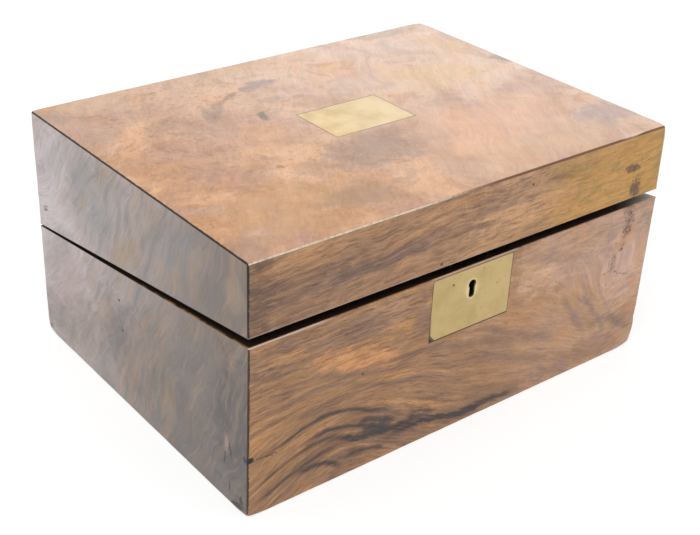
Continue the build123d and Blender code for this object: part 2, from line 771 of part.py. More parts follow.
lid_flap_pieces = {
    "lid_flap_board": lid_flap_board,
    "lid_flap_leather": lid_flap_leather,
    "lid_flap_leaves": lid_flap_leaves,
}

os.makedirs("parts", exist_ok=True)
case_flap_axis = Axis(case_flap_point, (1, 0, 0))
lid_flap_axis = Axis(lid_flap_point, (1, 0, 0))
flap_lift = ajar * flap_open_share


def write(name, part):
    """Label a finished piece and write its STEP file."""
    part.label = name
    export_step(part, f"parts/{name}.step")


for name, piece in case_pieces.items():
    write(name, piece.part)

for name, piece in case_flap_pieces.items():
    write(name, piece.part.rotate(case_flap_axis, -flap_lift))

for name, piece in lid_pieces.items():
    write(name, piece.part.rotate(hinge_axis, -ajar))

for name, piece in lid_flap_pieces.items():
    lowered = piece.part.rotate(lid_flap_axis, flap_lift)
    write(name, lowered.rotate(hinge_axis, -ajar))
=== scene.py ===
"""Looks of the writing slope: worn walnut veneers, brass, mahogany, leather and glass over the CAD frame."""

import json
import math

import bmesh
import bpy
from mathutils import Matrix, Vector, noise


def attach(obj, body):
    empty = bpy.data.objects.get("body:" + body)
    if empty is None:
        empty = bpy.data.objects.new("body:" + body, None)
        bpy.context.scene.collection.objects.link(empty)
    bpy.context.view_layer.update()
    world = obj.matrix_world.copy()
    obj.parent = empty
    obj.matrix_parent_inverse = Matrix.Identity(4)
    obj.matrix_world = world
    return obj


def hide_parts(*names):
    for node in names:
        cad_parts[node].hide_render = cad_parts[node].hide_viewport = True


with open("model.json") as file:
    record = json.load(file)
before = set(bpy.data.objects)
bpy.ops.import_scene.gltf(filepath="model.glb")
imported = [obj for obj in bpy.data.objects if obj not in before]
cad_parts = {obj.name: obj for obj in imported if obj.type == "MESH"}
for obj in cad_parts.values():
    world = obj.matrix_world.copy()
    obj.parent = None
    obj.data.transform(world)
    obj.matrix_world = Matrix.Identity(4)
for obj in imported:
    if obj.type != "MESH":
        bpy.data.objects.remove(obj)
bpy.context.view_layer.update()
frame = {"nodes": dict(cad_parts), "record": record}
nodes = frame["nodes"]
scene = bpy.context.scene
MM = 0.001

# ------------------------------------------------ sizes of the box (mm), as the CAD has them
HALF_W, HALF_D, HEIGHT = 152.5, 114.0, 151.5
VENEER, PANEL = 1.0, 8.0
HINGE_Y, HINGE_Z = 114.6, 75.75
SLOPE = math.atan2(108.6 - HINGE_Z, HALF_D + HINGE_Y)
AJAR = math.atan2(4.1, 228.0)
HALF_GAP = 0.5
HINGE_PLACES = (-95.0, 95.0)
BARREL_HALF, BARREL_ROOM = 20.3, 2.75
PLATE = (-24.5, 34.5, -17.75, 21.75)  # name plate: x, x, y, y
ESCUTCHEON = (-30.9, 29.1, 67.5, 106.5)  # x, x, z, z


def rim_z(y, side):
    """Height of a rim at y in the shut box: side -1 is the case's, +1 the lid's."""
    return HINGE_Z + (HINGE_Y - y) * math.tan(SLOPE) + side * HALF_GAP / math.cos(SLOPE)


def srgb(r, g, b):
    """A colour written in 0-255 display values, as linear light."""
    def one(c):
        c /= 255
        return c / 12.92 if c <= 0.04045 else ((c + 0.055) / 1.055) ** 2.4
    return (one(r), one(g), one(b), 1.0)


def linear(colour):
    """A display colour of three values as linear light. A socket stays as it is."""
    return srgb(*colour) if isinstance(colour, tuple) else colour


def darker(colour, share):
    return tuple(c * share for c in colour)


# ------------------------------------------------ node writing
class Shader:
    """Writes one material's nodes. A value is a number or another node's socket, and a colour a display colour
    or a socket. x, y and z are places on the shut box in mm; part is "lid" where the piece stands ajar with the
    lid. colour is the base colour so far."""

    def __init__(self, name, part="case"):
        self.material = bpy.data.materials.new(name)
        self.material.use_nodes = True
        self.tree = self.material.node_tree
        self.tree.nodes.clear()
        self.out = self.add("ShaderNodeOutputMaterial")
        self.bsdf = self.add("ShaderNodeBsdfPrincipled")
        self.tree.links.new(self.bsdf.outputs[0], self.out.inputs[0])
        place = self.add("ShaderNodeTexCoord").outputs["Object"]
        scale = self.add("ShaderNodeVectorMath", place, operation="SCALE")
        scale.inputs["Scale"].default_value = 1 / MM
        self.p = scale.outputs[0]
        if part == "lid":
            shut = self.add("ShaderNodeVectorRotate", self.p, (0, HINGE_Y, HINGE_Z), rotation_type="X_AXIS")
            shut.inputs["Angle"].default_value = AJAR
            self.p = shut.outputs[0]
        self.x, self.y, self.z = self.add("ShaderNodeSeparateXYZ", self.p).outputs

    def add(self, kind, *values, **props):
        """Makes a node with these properties, and puts the values into its first inputs."""
        node = self.tree.nodes.new(kind)
        for k, v in props.items():
            setattr(node, k, v)
        for socket, value in zip(node.inputs, values):
            self.put(socket, value)
        return node

    def put(self, socket, value):
        if isinstance(value, bpy.types.NodeSocket):
            self.tree.links.new(value, socket)
        else:
            socket.default_value = value

    def math(self, op, *values):
        return self.add("ShaderNodeMath", *values, operation=op).outputs[0]

    def plus(self, a, b):
        return self.math("ADD", a, b)

    def minus(self, a, b):
        return self.math("SUBTRACT", a, b)

    def times(self, a, b):
        return self.math("MULTIPLY", a, b)

    def sum(self, a, p, b, q):
        """p times a plus q times b."""
        return self.plus(self.times(a, p), self.times(b, q))

    def abs(self, a):
        return self.math("ABSOLUTE", a)

    def vector(self, x, y, z=0.0):
        return self.add("ShaderNodeCombineXYZ", x, y, z).outputs[0]

    def noise(self, at, scale, detail=3.0, rough=0.55, twist=0.0, colour=False):
        node = self.add("ShaderNodeTexNoise", at)
        for name, value in zip(("Scale", "Detail", "Roughness", "Distortion"), (scale, detail, rough, twist)):
            self.put(node.inputs[name], value)
        return node.outputs["Color" if colour else "Fac"]

    def cloud(self, u, v, seed, *texture):
        """Noise over a face; texture is its scale, detail, roughness and distortion."""
        return self.noise(self.vector(u, v, seed), *texture)

    def fibres(self, along, across, length, width, seed, *texture):
        """Noise drawn out along the grain, in cells about length by width in mm."""
        return self.cloud(self.times(along, 1 / length), self.times(across, 1 / width), seed, 1.0, *texture)

    def ragged(self, value, reach):
        """A noise spread about 0, to fray an edge with."""
        return self.math("MULTIPLY_ADD", value, reach, -reach / 2)

    def spread(self, value, low, high, to_low=0.0, to_high=1.0):
        """Smooth step of a value from low..high to to_low..to_high."""
        return self.add("ShaderNodeMapRange", value, low, high, to_low, to_high,
                        interpolation_type="SMOOTHSTEP", clamp=True).outputs[0]

    def mix(self, share, a, b, blend="MIX"):
        node = self.add("ShaderNodeMix", share, data_type="RGBA", blend_type=blend, clamp_factor=True)
        self.put(node.inputs[6], linear(a))
        self.put(node.inputs[7], linear(b))
        return node.outputs[2]

    def lay(self, share, shade, mask=None):
        """Lays a shade over the colour so far, in a share that a mask holds back."""
        self.colour = self.mix(share if mask is None else self.times(share, mask), self.colour, shade)

    def figure(self, value, high, low, mask=None):
        """Lays a shade where a noise is high and another where it is low: (from, to, share, shade) each."""
        for start, end, share, shade in (high, low):
            self.lay(self.spread(value, start, end, 0, share), shade, mask)

    def mix_value(self, share, a, b):
        node = self.add("ShaderNodeMix", share, data_type="FLOAT")
        self.put(node.inputs[2], a)
        self.put(node.inputs[3], b)
        return node.outputs[0]

    def ramp(self, value, low, high):
        """A colour that runs between two: (place, display colour) each."""
        node = self.add("ShaderNodeValToRGB", value)
        for stop, (place, colour) in zip(node.color_ramp.elements, (low, high)):
            stop.position, stop.color = place, srgb(*colour)
        return node.outputs[0]

    def spot(self, u, v, at, radii, turn=0.0, soft=0.75, ragged=None):
        """An oval: 1 inside, falling to 0 at its rim. turn is in degrees, and ragged a noise that frays it."""
        c, s = math.cos(math.radians(turn)), math.sin(math.radians(turn))
        du, dv = self.minus(u, at[0]), self.minus(v, at[1])
        a = self.sum(du, c / radii[0], dv, s / radii[0])
        b = self.sum(du, -s / radii[1], dv, c / radii[1])
        d = self.sum(a, a, b, b)
        if ragged is not None:
            d = self.plus(d, ragged)
        return self.spread(d, 1.0, max(0.0, 1.0 - soft) ** 2)

    def bell(self, u, at, width):
        """exp of minus the square of (u - at) / width."""
        d = self.times(self.minus(u, at), 1 / width)
        return self.math("EXPONENT", self.times(self.times(d, d), -1.0))

    def stroke(self, u, v, level, rise, at, width, slope, span, thick, ragged):
        """A line along v = level + slope (u - at), lifted by rise round at, that fades at its span's ends."""
        du = self.minus(u, at)
        path = self.plus(self.sum(self.bell(u, at, width), rise, du, slope), level)
        away = self.abs(self.minus(v, path))
        near = self.spread(self.plus(away, self.times(ragged, thick)), thick, 0.0)
        fade = (span[1] - span[0]) * 0.25
        ends = self.times(self.spread(u, span[0], span[0] + fade), self.spread(u, span[1], span[1] - fade))
        return self.times(near, ends)

    def bump(self, height, strength, distance, below=None):
        node = self.add("ShaderNodeBump")
        node.inputs["Strength"].default_value = strength
        node.inputs["Distance"].default_value = distance
        self.put(node.inputs["Height"], height)
        if below is not None:
            self.put(node.inputs["Normal"], below)
        return node.outputs[0]

    def finish(self, roughness, normal=None, **constants):
        self.put(self.bsdf.inputs["Base Color"], linear(self.colour))
        self.put(self.bsdf.inputs["Roughness"], roughness)
        if normal is not None:
            self.put(self.bsdf.inputs["Normal"], normal)
        for name, value in constants.items():
            self.bsdf.inputs[name.replace("_", " ")].default_value = value
        return self.material


# ------------------------------------------------ figured walnut
def warped(n, u, v, seed, slow, quick):
    """Face coordinates bent by slow and quick noise, as figure is: (scale, reach in mm) each."""
    at = n.vector(u, v, seed)
    for scale, reach in (slow, quick):
        split = n.add("ShaderNodeSeparateXYZ", n.noise(at, scale, 2.0, colour=True))
        u, v = (n.plus(w, n.times(n.minus(split.outputs[k], 0.5), reach * 2)) for k, w in enumerate((u, v)))
    return u, v


def patches(n, u, v, spots):
    """Lays oval patches with frayed rims."""
    ragged = n.ragged(n.cloud(u, v, 6.0, 0.12, 4.0, 0.65, 0.4), 2.4)

    def lay(x, y, reach_x, reach_y, shade, share=0.5, soft=0.8, turn=0):
        n.lay(n.spot(u, v, (x, y), (reach_x, reach_y), turn, soft, ragged), shade, share)

    for spot in spots:
        lay(*spot)


def grain(n, along, across, seed, fibre, band, pores):
    """Shades the colour with fibres, broader bands and pores that run along the grain."""
    fine = n.fibres(along, across, 14, 1.7, seed, 5.0, 0.7)
    broad = n.fibres(along, across, 50, 6.5, seed + 7, 4.0, 0.6, 0.3)
    shade = n.plus(n.spread(fine, 0.3, 0.7, 1 - fibre, 1 + fibre), n.spread(broad, 0.3, 0.7, -band, band))
    tone = n.add("ShaderNodeCombineColor", *(
        n.plus(n.times(n.minus(shade, 1.0), share), 1.0) for share in (1.0, 1.06, 1.16)))
    n.colour = n.mix(1.0, n.colour, tone.outputs[0], "MULTIPLY")
    dots = n.fibres(along, across, 3.2, 0.5, seed + 3, 2.0, 0.5)
    n.lay(n.spread(dots, 0.6, 0.74), (70, 48, 34), pores)
    return fine


def polish(n, fine, saturation=1.15, value=0.92):
    """Old French polish: a soft gloss, fine scratches and a faintly uneven face."""
    deeper = n.add("ShaderNodeHueSaturation")
    for name, setting in (("Saturation", saturation), ("Value", value), ("Color", n.colour)):
        n.put(deeper.inputs[name], setting)
    n.colour = deeper.outputs[0]
    roughness = n.plus(n.spread(n.noise(n.p, 0.05, 3.0), 0.3, 0.7, 0.27, 0.43), n.times(fine, 0.05))
    waves = n.bump(n.noise(n.p, 0.09, 2.0), 0.25, 0.0006)
    return n.finish(roughness, n.bump(fine, 0.12, 0.00015, waves), Specular_IOR_Level=0.4)


def outline(n, u, v, box, shade, width):
    """A dark line round a plate that is let in."""
    du, dv = (n.minus(n.abs(n.plus(w, -(low + high) / 2)), (high - low) / 2)
              for w, low, high in ((u, *box[:2]), (v, *box[2:])))
    n.lay(n.spread(n.math("MAXIMUM", du, dv), width * 1.5, width * 0.5, 0, 0.8), shade)


def walnut_top():
    n = Shader("walnut_top", "lid")
    u, v = n.x, n.y
    wu, wv = warped(n, u, v, 1.0, (0.016, 14.0), (0.11, 1.8))
    # lighter towards the right back: partly the veneer's own tone, partly a painted sheen of light on the top
    tone_and_sheen = n.spread(n.sum(u, 0.8, v, 0.6), -170, 170)
    n.colour = n.mix(tone_and_sheen, (206, 150, 106), (254, 222, 200))
    cloud = n.cloud(wu, wv, 3.0, 0.022, 3.0, 0.5, 0.5)
    n.figure(cloud, (0.5, 0.66, 0.55, (204, 160, 144)), (0.5, 0.34, 0.6, (254, 198, 152)))
    cloud = n.cloud(wu, wv, 17.0, 0.042, 3.0, 0.55, 0.6)
    pale = n.spread(u, -90, 60, 0.5, 1.0)
    n.lay(n.spread(cloud, 0.52, 0.66, 0, 0.4), n.mix(pale, (150, 100, 66), (196, 150, 118)))
    n.lay(n.spread(cloud, 0.46, 0.34, 0, 0.4), (246, 210, 184), pale)
    left = n.spread(u, 60, -80, 0.25, 1.0)
    for seed, size, dark, light in ((8.0, 0.11, 0.36, 0.32), (13.0, 0.3, 0.45, 0.35)):
        mottle = n.cloud(wu, wv, seed, size, 4.0, 0.65, 0.4)
        n.figure(mottle, (0.53, 0.7, dark, (150, 108, 84)), (0.46, 0.3, light, (246, 198, 146)), left)
    patches(n, wu, wv, TOP_PATCHES)
    fine = grain(n, n.sum(wu, 0.5, wv, 0.86), n.sum(wu, -0.86, wv, 0.5), 1.0, 0.07, 0.06, 0.22)
    # the arrises: dark at the left; brown at the front, pale along its left part as bare wear and a painted
    # highlight; and a rubbed place at its right end, pale as wear and a painted highlight
    rub = n.cloud(u, v, 2.0, 0.35, 3.0, 0.6)
    n.lay(n.spread(n.plus(u, n.times(rub, -1.0)), -HALF_W + 0.3, -HALF_W - 0.1), (26, 12, 6))
    # painted highlight, with bare wear, along the left part of the front arris
    bright = n.spread(u, 20, -55)
    front = n.spread(n.minus(n.plus(v, HALF_D), n.mix_value(bright, 1.25, 0.65)), 0.0, -0.5)
    pale = n.times(bright, n.spread(rub, 0.3, 0.6, 0.6, 1.0))
    n.lay(front, n.mix(pale, (110, 66, 36), (254, 238, 214)), 0.9)
    # painted highlight, with wear: a pale place at the front arris's right end
    rubbed = n.spot(u, v, (124, -HALF_D + 1.4), (13, 1.5), 2, 0.8)
    n.lay(rubbed, (244, 214, 186), n.spread(rub, 0.3, 0.5, 0.5, 1.0))
    outline(n, u, v, PLATE, (112, 86, 58), 0.7)
    return polish(n, fine, 1.04, 1.0)


# Patches: place, radii and display colour, then share, softness and turn where they aren't 0.5, 0.8 and 0.
# Places on the top are x, y and on the front x, z; on a side they run from back to front, and up.
TOP_PATCHES = [
    (-95, -72, 52, 30, (214, 163, 110), 0.6, 0.7),  # golden field at the front
    (-110, -98, 34, 14, (214, 165, 112), 0.5, 0.7),
    (-6, -42, 60, 24, (172, 142, 124), 0.75, 0.7),  # brown shade before the plate
    (-62, -82, 36, 15, (170, 135, 108), 0.5, 0.7), (-142, 70, 20, 36, (212, 176, 156), 0.5, 0.7),
    (-145, 96, 16, 16, (178, 152, 140), 0.5, 0.7),
    (-18, 73, 18, 9, (176, 150, 146), 0.8, 0.6, 5),  # grey streaks behind the plate
    (-42, 66, 13, 4, (146, 128, 118), 0.7, 0.6, 30), (-62, 50, 18, 7, (160, 136, 122), 0.6, 0.7, 45),
    (-25, 48, 10, 6, (178, 150, 132), 0.5, 0.7), (-8, 48, 7, 4, (176, 148, 132), 0.5, 0.7),
    (-39, 31, 5, 6, (128, 118, 104), 0.9, 0.6),  # small dark knot
    (-66, 34, 8, 6, (176, 144, 120), 0.4, 0.7), (-80, 25, 6, 9, (176, 144, 118), 0.5, 0.7),
    (-80, -32, 3.5, 3.5, (140, 118, 98), 0.6, 0.7), (-45, -2, 14, 9, (184, 150, 130), 0.5, 0.7),
    (80, -25, 16, 12, (208, 176, 166), 0.7, 0.7, 40), (70, -48, 76, 40, (250, 196, 160), 0.65, 0.95),
    (135, -78, 26, 16, (204, 178, 172), 0.8),  # lavender clouds at the right
    (125, -92, 10, 9, (188, 164, 160), 0.5, 0.7), (149, 31, 9, 10, (172, 154, 148), 0.7, 0.7),
    (115, 112, 34, 9, (204, 184, 172), 0.6, 0.7),
    (88, 22, 50, 28, (246, 210, 162), 0.55),  # pale yellow on the right
    (130, 60, 36, 16, (238, 208, 176)), (60, -96, 76, 20, (234, 190, 154), 0.55),
    (42, 50, 44, 13, (218, 186, 172), 0.5, 0.8, 30), (-62, 30, 36, 15, (216, 168, 140), 0.5, 0.8, 30),
    (-20, 106, 95, 12, (226, 190, 160), 0.4), (100, 84, 48, 13, (226, 196, 180), 0.5, 0.8, -10),
    (-52, 8, 28, 24, (236, 180, 136), 0.5, 0.9), (-145, -100, 18, 14, (170, 130, 96), 0.5, 0.9),
    (-63, -43, 16, 12, (190, 150, 120), 0.5, 0.9), (-116, 98, 26, 20, (236, 200, 170), 0.55, 0.9),
    (8, -80, 22, 26, (230, 186, 154), 0.4, 0.9),
]
LID_FRONT_PATCHES = [
    (-130, 128, 66, 26, (134, 106, 86), 0.7), (-70, 127, 64, 6, (124, 100, 92), 0.6, 0.8, 3),
    (0, 118, 74, 9, (182, 138, 102)),
    (34, 130, 50, 30, (222, 172, 130), 0.8, 0.95),  # paler middle
    (-146, 130, 18, 30, (112, 86, 70), 0.8, 0.95), (78, 141, 36, 6, (124, 104, 78), 0.8, 0.95, -4),
    (66, 117, 40, 6, (214, 160, 112), 0.7, 0.95), (148, 125, 12, 26, (184, 150, 92)),
    (63, 141, 16, 9, (150, 118, 84), 0.5, 0.9), (12, 112, 42, 7, (208, 160, 114), 0.5, 0.9),
    (-142, 140, 14, 14, (108, 82, 64), 0.5, 0.9),
]
# Lines of figure on the front: level, rise, at, width, slope, span, thickness, share, display colour.
INK, SHADE = (54, 44, 46), (124, 100, 92)
GROWTH_LINES = [
    (33, 14, -98, 34, -0.05, (-154, -44), 2.4, 0.9, INK),
    (20, 16, -98, 36, -0.06, (-118, -48), 2.8, 0.9, INK),
    (23, 6, -100, 20, -0.09, (-108, -20), 4.6, 1.0, INK),
    (27, 6, -72, 12, -0.10, (-84, -46), 4.0, 0.9, INK),
    (10, 4, -35, 22, -0.06, (-66, 32), 3.8, 1.0, INK),
    (6, 0, 10, 20, -0.03, (-22, 50), 4.0, 0.9, INK),
    (9, 7, -108, 14, -0.10, (-124, -86), 3.4, 0.95, INK),
    (8, 5, -80, 14, -0.05, (-92, -54), 3.0, 0.8, INK),
    (5, 17, -100, 36, 0.0, (-152, -90), 2.4, 0.8, INK),
    (15, 16, -105, 34, 0.0, (-152, -84), 2.3, 0.75, INK),
    (64, 10, -110, 30, -0.10, (-150, -40), 3.0, 0.45, SHADE),
    (54, 12, -100, 34, -0.16, (-152, -20), 2.6, 0.5, SHADE),
    (60, 0, -20, 20, -0.28, (-46, 60), 4.0, 0.5, SHADE),
    (48, 0, 40, 20, -0.45, (4, 84), 5.0, 0.55, SHADE),
    (30, 0, 45, 20, -0.4, (5, 78), 4.5, 0.5, SHADE),
    (52, 0, 82, 20, -1.25, (74, 108), 7.0, 0.45, SHADE),
    (50, 0, 100, 20, -1.3, (92, 124), 6.0, 0.5, SHADE),
    (46, 0, 116, 20, -1.5, (106, 136), 5.0, 0.4, (146, 124, 130)),
    (50, 0, 91, 20, -1.2, (80, 116), 5.0, 0.5, (186, 144, 88)),
    (50, 0, 108, 20, -1.3, (100, 132), 5.0, 0.5, (188, 148, 94)),
    (24, 5, 124, 12, -0.3, (98, 150), 6.0, 0.6, SHADE),
    (92, 0, 60, 20, -0.3, (34, 110), 6.0, 0.35, SHADE),
]
CASE_FRONT_PATCHES = [
    (-78, 25, 52, 17, (120, 92, 76), 0.5, 0.9, -4), (-64, 23, 17, 6, (40, 38, 42), 1.0, 0.9, -22),
    (-31, 19, 12, 3.6, (44, 40, 44), 1.0, 0.8, -14), (10, 9, 60, 11, (124, 96, 78), 0.45, 0.9, -3),
    (-100, 95, 64, 15, (156, 122, 98), 0.6), (-140, 91, 14, 3.5, (116, 92, 88), 0.7, 0.7),
    (-127, 101, 8, 2.2, (112, 90, 90), 0.7, 0.7),
    (-80, 73.5, 38, 9, (234, 164, 108), 0.85, 0.95, -18),  # orange flash
    (-62, 96, 26, 12, (204, 158, 124), 0.7, 0.9), (62, 90, 36, 26, (228, 184, 152), 0.8, 0.95),
    (146, 96, 14, 22, (158, 138, 126), 0.7, 0.9), (45, 52, 32, 11, (196, 144, 100), 0.6, 0.8, -30),
    (112, 85, 58, 34, (210, 170, 146), 0.8),  # pinkish right end
    (70, 40, 60, 30, (202, 156, 120), 0.5, 0.9), (80, 97, 50, 12, (186, 146, 114)),
    (-125, 20, 20, 9, (172, 132, 72), 0.6), (-36, 90, 8, 22, (138, 110, 98)),
    (145, 25, 16, 11, (150, 116, 100)), (132, 60, 28, 26, (222, 182, 164), 0.7, 0.95),
    (13, 63, 22, 14, (208, 164, 130), 0.5, 0.9), (104, 10, 60, 13, (140, 104, 78), 0.5, 0.9),
    (-95, 12, 60, 14, (146, 110, 80), 0.4, 0.9), (-116, 38, 38, 15, (158, 118, 84), 0.4, 0.9),
]
# The left side's grey cast, its pale back corner most of all, is painted reflection of the light; the patches'
# pattern is figure.
LEFT_PATCHES_AND_REFLECTION = [
    (-98, 100, 54, 70, (226, 214, 216), 0.9, 0.95),  # pale grey back corner: painted reflection of the light
    (-98, 60, 44, 34, (228, 216, 216), 0.8, 0.95), (-98, 14, 32, 22, (152, 138, 128), 0.6, 0.9),
    (-84, 56, 26, 34, (188, 168, 164), 0.7, 0.9), (-50, 116, 26, 34, (172, 174, 176), 0.55, 0.95),
    (50, 128, 34, 16, (148, 150, 154), 0.6, 0.8, 20), (-30, 40, 40, 18, (168, 152, 146), 0.6, 0.9, 30),
    (16, 60, 16, 34, (172, 148, 126), 0.6, 0.9, -25), (-64, 108, 24, 24, (196, 182, 176)),
    (-40, 125, 34, 28, (166, 162, 160), 0.6), (-5, 105, 34, 11, (178, 160, 142), 0.6, 0.8, 35),
    (22, 135, 34, 9, (172, 156, 142), 0.5, 0.8, 40), (102, 133, 12, 11, (170, 150, 130), 0.6),
    (66, 22, 64, 32, (130, 121, 116), 0.75, 0.9), (72, 64, 36, 34, (122, 120, 118), 0.6, 0.85),
    (104, 50, 32, 56, (94, 87, 84), 0.85, 0.95), (0, 42, 54, 38, (128, 116, 110), 0.55, 0.95),
    (36, 44, 12, 30, (158, 138, 118), 0.6, 0.8, -20), (55, 88, 6, 12, (166, 144, 124), 0.5, 0.8, -20),
    (93, 38, 2.4, 9, (186, 160, 146), 0.8, 0.9, 15), (-60, 30, 34, 20, (160, 148, 140), 0.5, 0.8, 20),
]


def walnut_front(part):
    n = Shader("walnut_front_" + part, part)
    u, v = n.x, n.z
    wu, wv = warped(n, u, v, 5.0, (0.016, 5.0), (0.12, 1.2))
    if part == "lid":
        across = n.plus(wv, n.times(wu, -0.04))
        calm = n.spread(wu, 20, 110, 0.9, 0.42)
        cloud = n.cloud(n.times(wu, 1 / 2.5), wv, 61.0, 0.08, 3.0, 0.6)
        gold = n.spread(n.plus(n.plus(wu, n.times(wv, -0.7)), n.times(cloud, 90.0)), -40, 66)
        n.colour = (174, 132, 98)
        patches(n, wu, wv, LID_FRONT_PATCHES)
        n.lay(gold, (210, 158, 76), 0.8)
        blotch = n.cloud(wu, wv, 71.0, 0.13, 4.0, 0.6, 0.6)
        n.figure(blotch, (0.5, 0.66, 0.5, (158, 132, 72)), (0.5, 0.34, 0.45, (220, 152, 88)), gold)
        dark = n.mix(gold, (112, 88, 80), (148, 110, 62))
        light = n.mix(gold, (214, 160, 110), (226, 180, 112))
    else:
        # the grain's lines arch over the lower left, dip to the right, and wave at the right end
        arch = n.times(n.bell(wu, -92, 52), n.spread(wv, 78, 30, 0, 34))
        fall = n.times(n.spread(wu, -40, 150, 0, 40), n.spread(wv, 105, 45))
        wave = n.times(n.bell(wu, 112, 24), n.spread(wv, 75, 35, 0, 8))
        across = n.plus(n.minus(n.plus(wv, fall), arch), wave)
        calm = n.spread(wu, 50, -40, 0.3, 1.0)
        n.colour = n.mix(n.spread(wu, 0, 120), (172, 128, 90), (204, 160, 126))
        patches(n, wu, wv, CASE_FRONT_PATCHES)
        dark, light = (110, 86, 78), (218, 160, 102)
        blush, right = n.cloud(wu, wv, 51.0, 0.055, 3.0, 0.6, 0.6), n.spread(wu, -10, 60)
        n.figure(blush, (0.5, 0.7, 0.4, (152, 128, 130)), (0.5, 0.3, 0.4, (214, 156, 108)), right)
    band = n.fibres(wu, across, 70, 11, 2.0, 4.0, 0.6, 0.5)
    n.figure(band, (0.5, 0.66, 0.6, dark), (0.48, 0.34, 0.6, light), calm)
    narrow = n.fibres(wu, across, 30, 3.2, 12.0, 4.0, 0.65, 0.4)
    dark, light = n.mix(0.6, dark, (122, 82, 56)), n.mix(0.6, light, (204, 158, 118))
    n.figure(narrow, (0.5, 0.64, 0.55, dark), (0.47, 0.34, 0.4, light), calm)
    thread = n.fibres(wu, across, 11, 1.4, 33.0, 4.0, 0.7, 0.2)
    n.figure(thread, (0.52, 0.66, 0.6, (96, 62, 36)), (0.46, 0.34, 0.35, (204, 162, 124)), calm)
    if part == "case":
        ragged = n.ragged(thread, 3.0)
        for *line, share, shade in GROWTH_LINES:
            n.lay(n.stroke(wu, wv, *line, ragged), shade, share)
        flecks = n.cloud(n.times(wu, 1 / 5), wv, 44.0, 1.0, 2.0)
        n.lay(n.spread(flecks, 0.64, 0.7, 0, 0.8), (58, 44, 40), n.spot(wu, wv, (-80, 26), (64, 26), -4, 0.8))
    fine = grain(n, wu, across, 5.0, 0.14, 0.05, 0.5)
    stains(n, u, v)
    # the arrises
    nick = n.cloud(u, v, 14.0, 0.3, 3.0, 0.7)
    side = n.spread(n.plus(u, n.times(nick, -1.6)), -HALF_W + 0.2, -HALF_W - 0.3)
    n.lay(side, (34, 20, 14) if part == "lid" else (62, 42, 32))
    rim = rim_z(-HALF_D, 0)
    if part == "lid":
        n.lay(n.spread(v, HEIGHT - 1.3, HEIGHT - 0.8), (70, 42, 28), 0.8)
        # painted highlight: a pale line along the lid's lower front arris, above the gap, at the left
        n.lay(n.spread(v, rim + 1.5, rim + 1.0), (214, 198, 186), n.spread(u, 40, 0, 0, 0.22))
        # painted highlight along the lid front's right arris
        n.lay(n.spread(u, HALF_W - 1.6, HALF_W - 0.4), (222, 206, 178), 0.5)
    else:
        n.lay(n.spot(u, v, (-151.6, 38.2), (3.6, 2.6), 0, 0.5), (14, 9, 6))
        # painted highlight: a pale line along the case's upper front arris, strong at the left and in the
        # middle
        pale = n.plus(n.spread(u, -96, -112), n.times(n.spread(n.abs(u), 34, 30), 0.6))
        n.lay(n.times(n.spread(v, rim - 1.2, rim - 0.9), pale), (236, 208, 190), 0.8)
        outline(n, u, v, ESCUTCHEON, (84, 58, 38), 0.55)
        below = n.spread(n.abs(n.plus(v, 0.35 - ESCUTCHEON[2])), 0.75, 0.3)
        n.lay(n.times(below, n.spread(n.abs(n.plus(u, 0.9)), 30.6, 30.0)), (66, 42, 26), 0.85)
    # the front's colour is painted lighter than the other faces', as the light that falls on it
    return polish(n, fine, 1.0, 1.15)


def stains(n, u, v):
    """Dark drips, fine cracks and pin holes of the front."""
    ragged = n.ragged(n.cloud(u, v, 4.0, 0.35, 4.0, 0.7), 3.0)
    specks = n.spread(n.cloud(u, v, 12.0, 0.7, 3.0, 0.7), 0.5, 0.6)
    for at, radii, wash, dots in STAINS:
        share = n.spot(u, v, at, radii, 0, 0.75, ragged)
        n.lay(share, (96, 66, 48), wash)
        n.lay(n.times(share, specks), (48, 34, 26), dots)
    shake = n.times(n.minus(n.cloud(u, v, 9.0, 0.4, 2.0), 0.5), 5.0)
    for (x1, z1), (x2, z2), thick, share in CRACKS:
        length = math.hypot(x2 - x1, z2 - z1)
        run, rise = (x2 - x1) / length, (z2 - z1) / length
        du, dv = n.minus(u, x1), n.minus(v, z1)
        along = n.sum(du, run, dv, rise)
        away = n.plus(n.sum(du, -rise, dv, run), shake)
        ends = n.times(n.spread(along, -0.5, 1.0), n.spread(along, length + 0.5, length - 1.0))
        n.lay(n.times(n.spread(n.abs(away), thick, 0.0), ends), (52, 36, 30), share)
    for at, radii in PIN_HOLES:
        n.lay(n.spot(u, v, at, radii, 0, 0.6), (48, 34, 30), 0.85)


# Dark drips: at, radii, share of the wash and of the specks in it.
STAINS = [
    ((126, 130), (8, 3.5), 0.8, 0.8), ((131, 116), (6, 9), 0.8, 0.7), ((128, 106), (7, 4), 0.4, 0.6),
    ((130, 98), (6.5, 10), 0.35, 0.8), ((130, 91), (6, 5), 0.35, 0.85), ((127, 84), (3, 6), 0.15, 0.7),
    ((126.5, 78.5), (2.4, 1.6), 0.7, 0.8), ((121, 70), (3, 9), 0.1, 0.6),
]
# Fine cracks: from, to, thickness and share.
CRACKS = [
    ((112, 64), (124, 68), 0.55, 0.6), ((122, 64), (138, 57), 0.55, 0.55), ((119, 66), (123, 78), 0.5, 0.4),
    ((-153, 37.5), (-134, 36.5), 0.6, 0.8), ((-30.5, 70), (-30.0, 76), 0.6, 0.6),
]
PIN_HOLES = [((-26, 111.6), (1.3, 1.1)), ((40, 142), (1.2, 1.0)), ((-78, 64.5), (1.2, 1.0))]
RIGHT_PATCHES = [
    (80, 100, 60, 50, (170, 140, 112), 0.7, 0.9), (-60, 120, 50, 24, (150, 124, 104), 0.6, 0.8, 20),
    (-30, 40, 60, 30, (142, 112, 90), 0.6, 0.8, -20), (60, 30, 40, 20, (160, 124, 92), 0.6, 0.8, 30),
    (0, 80, 26, 14, (186, 146, 106), 0.5, 0.8, 40),
]


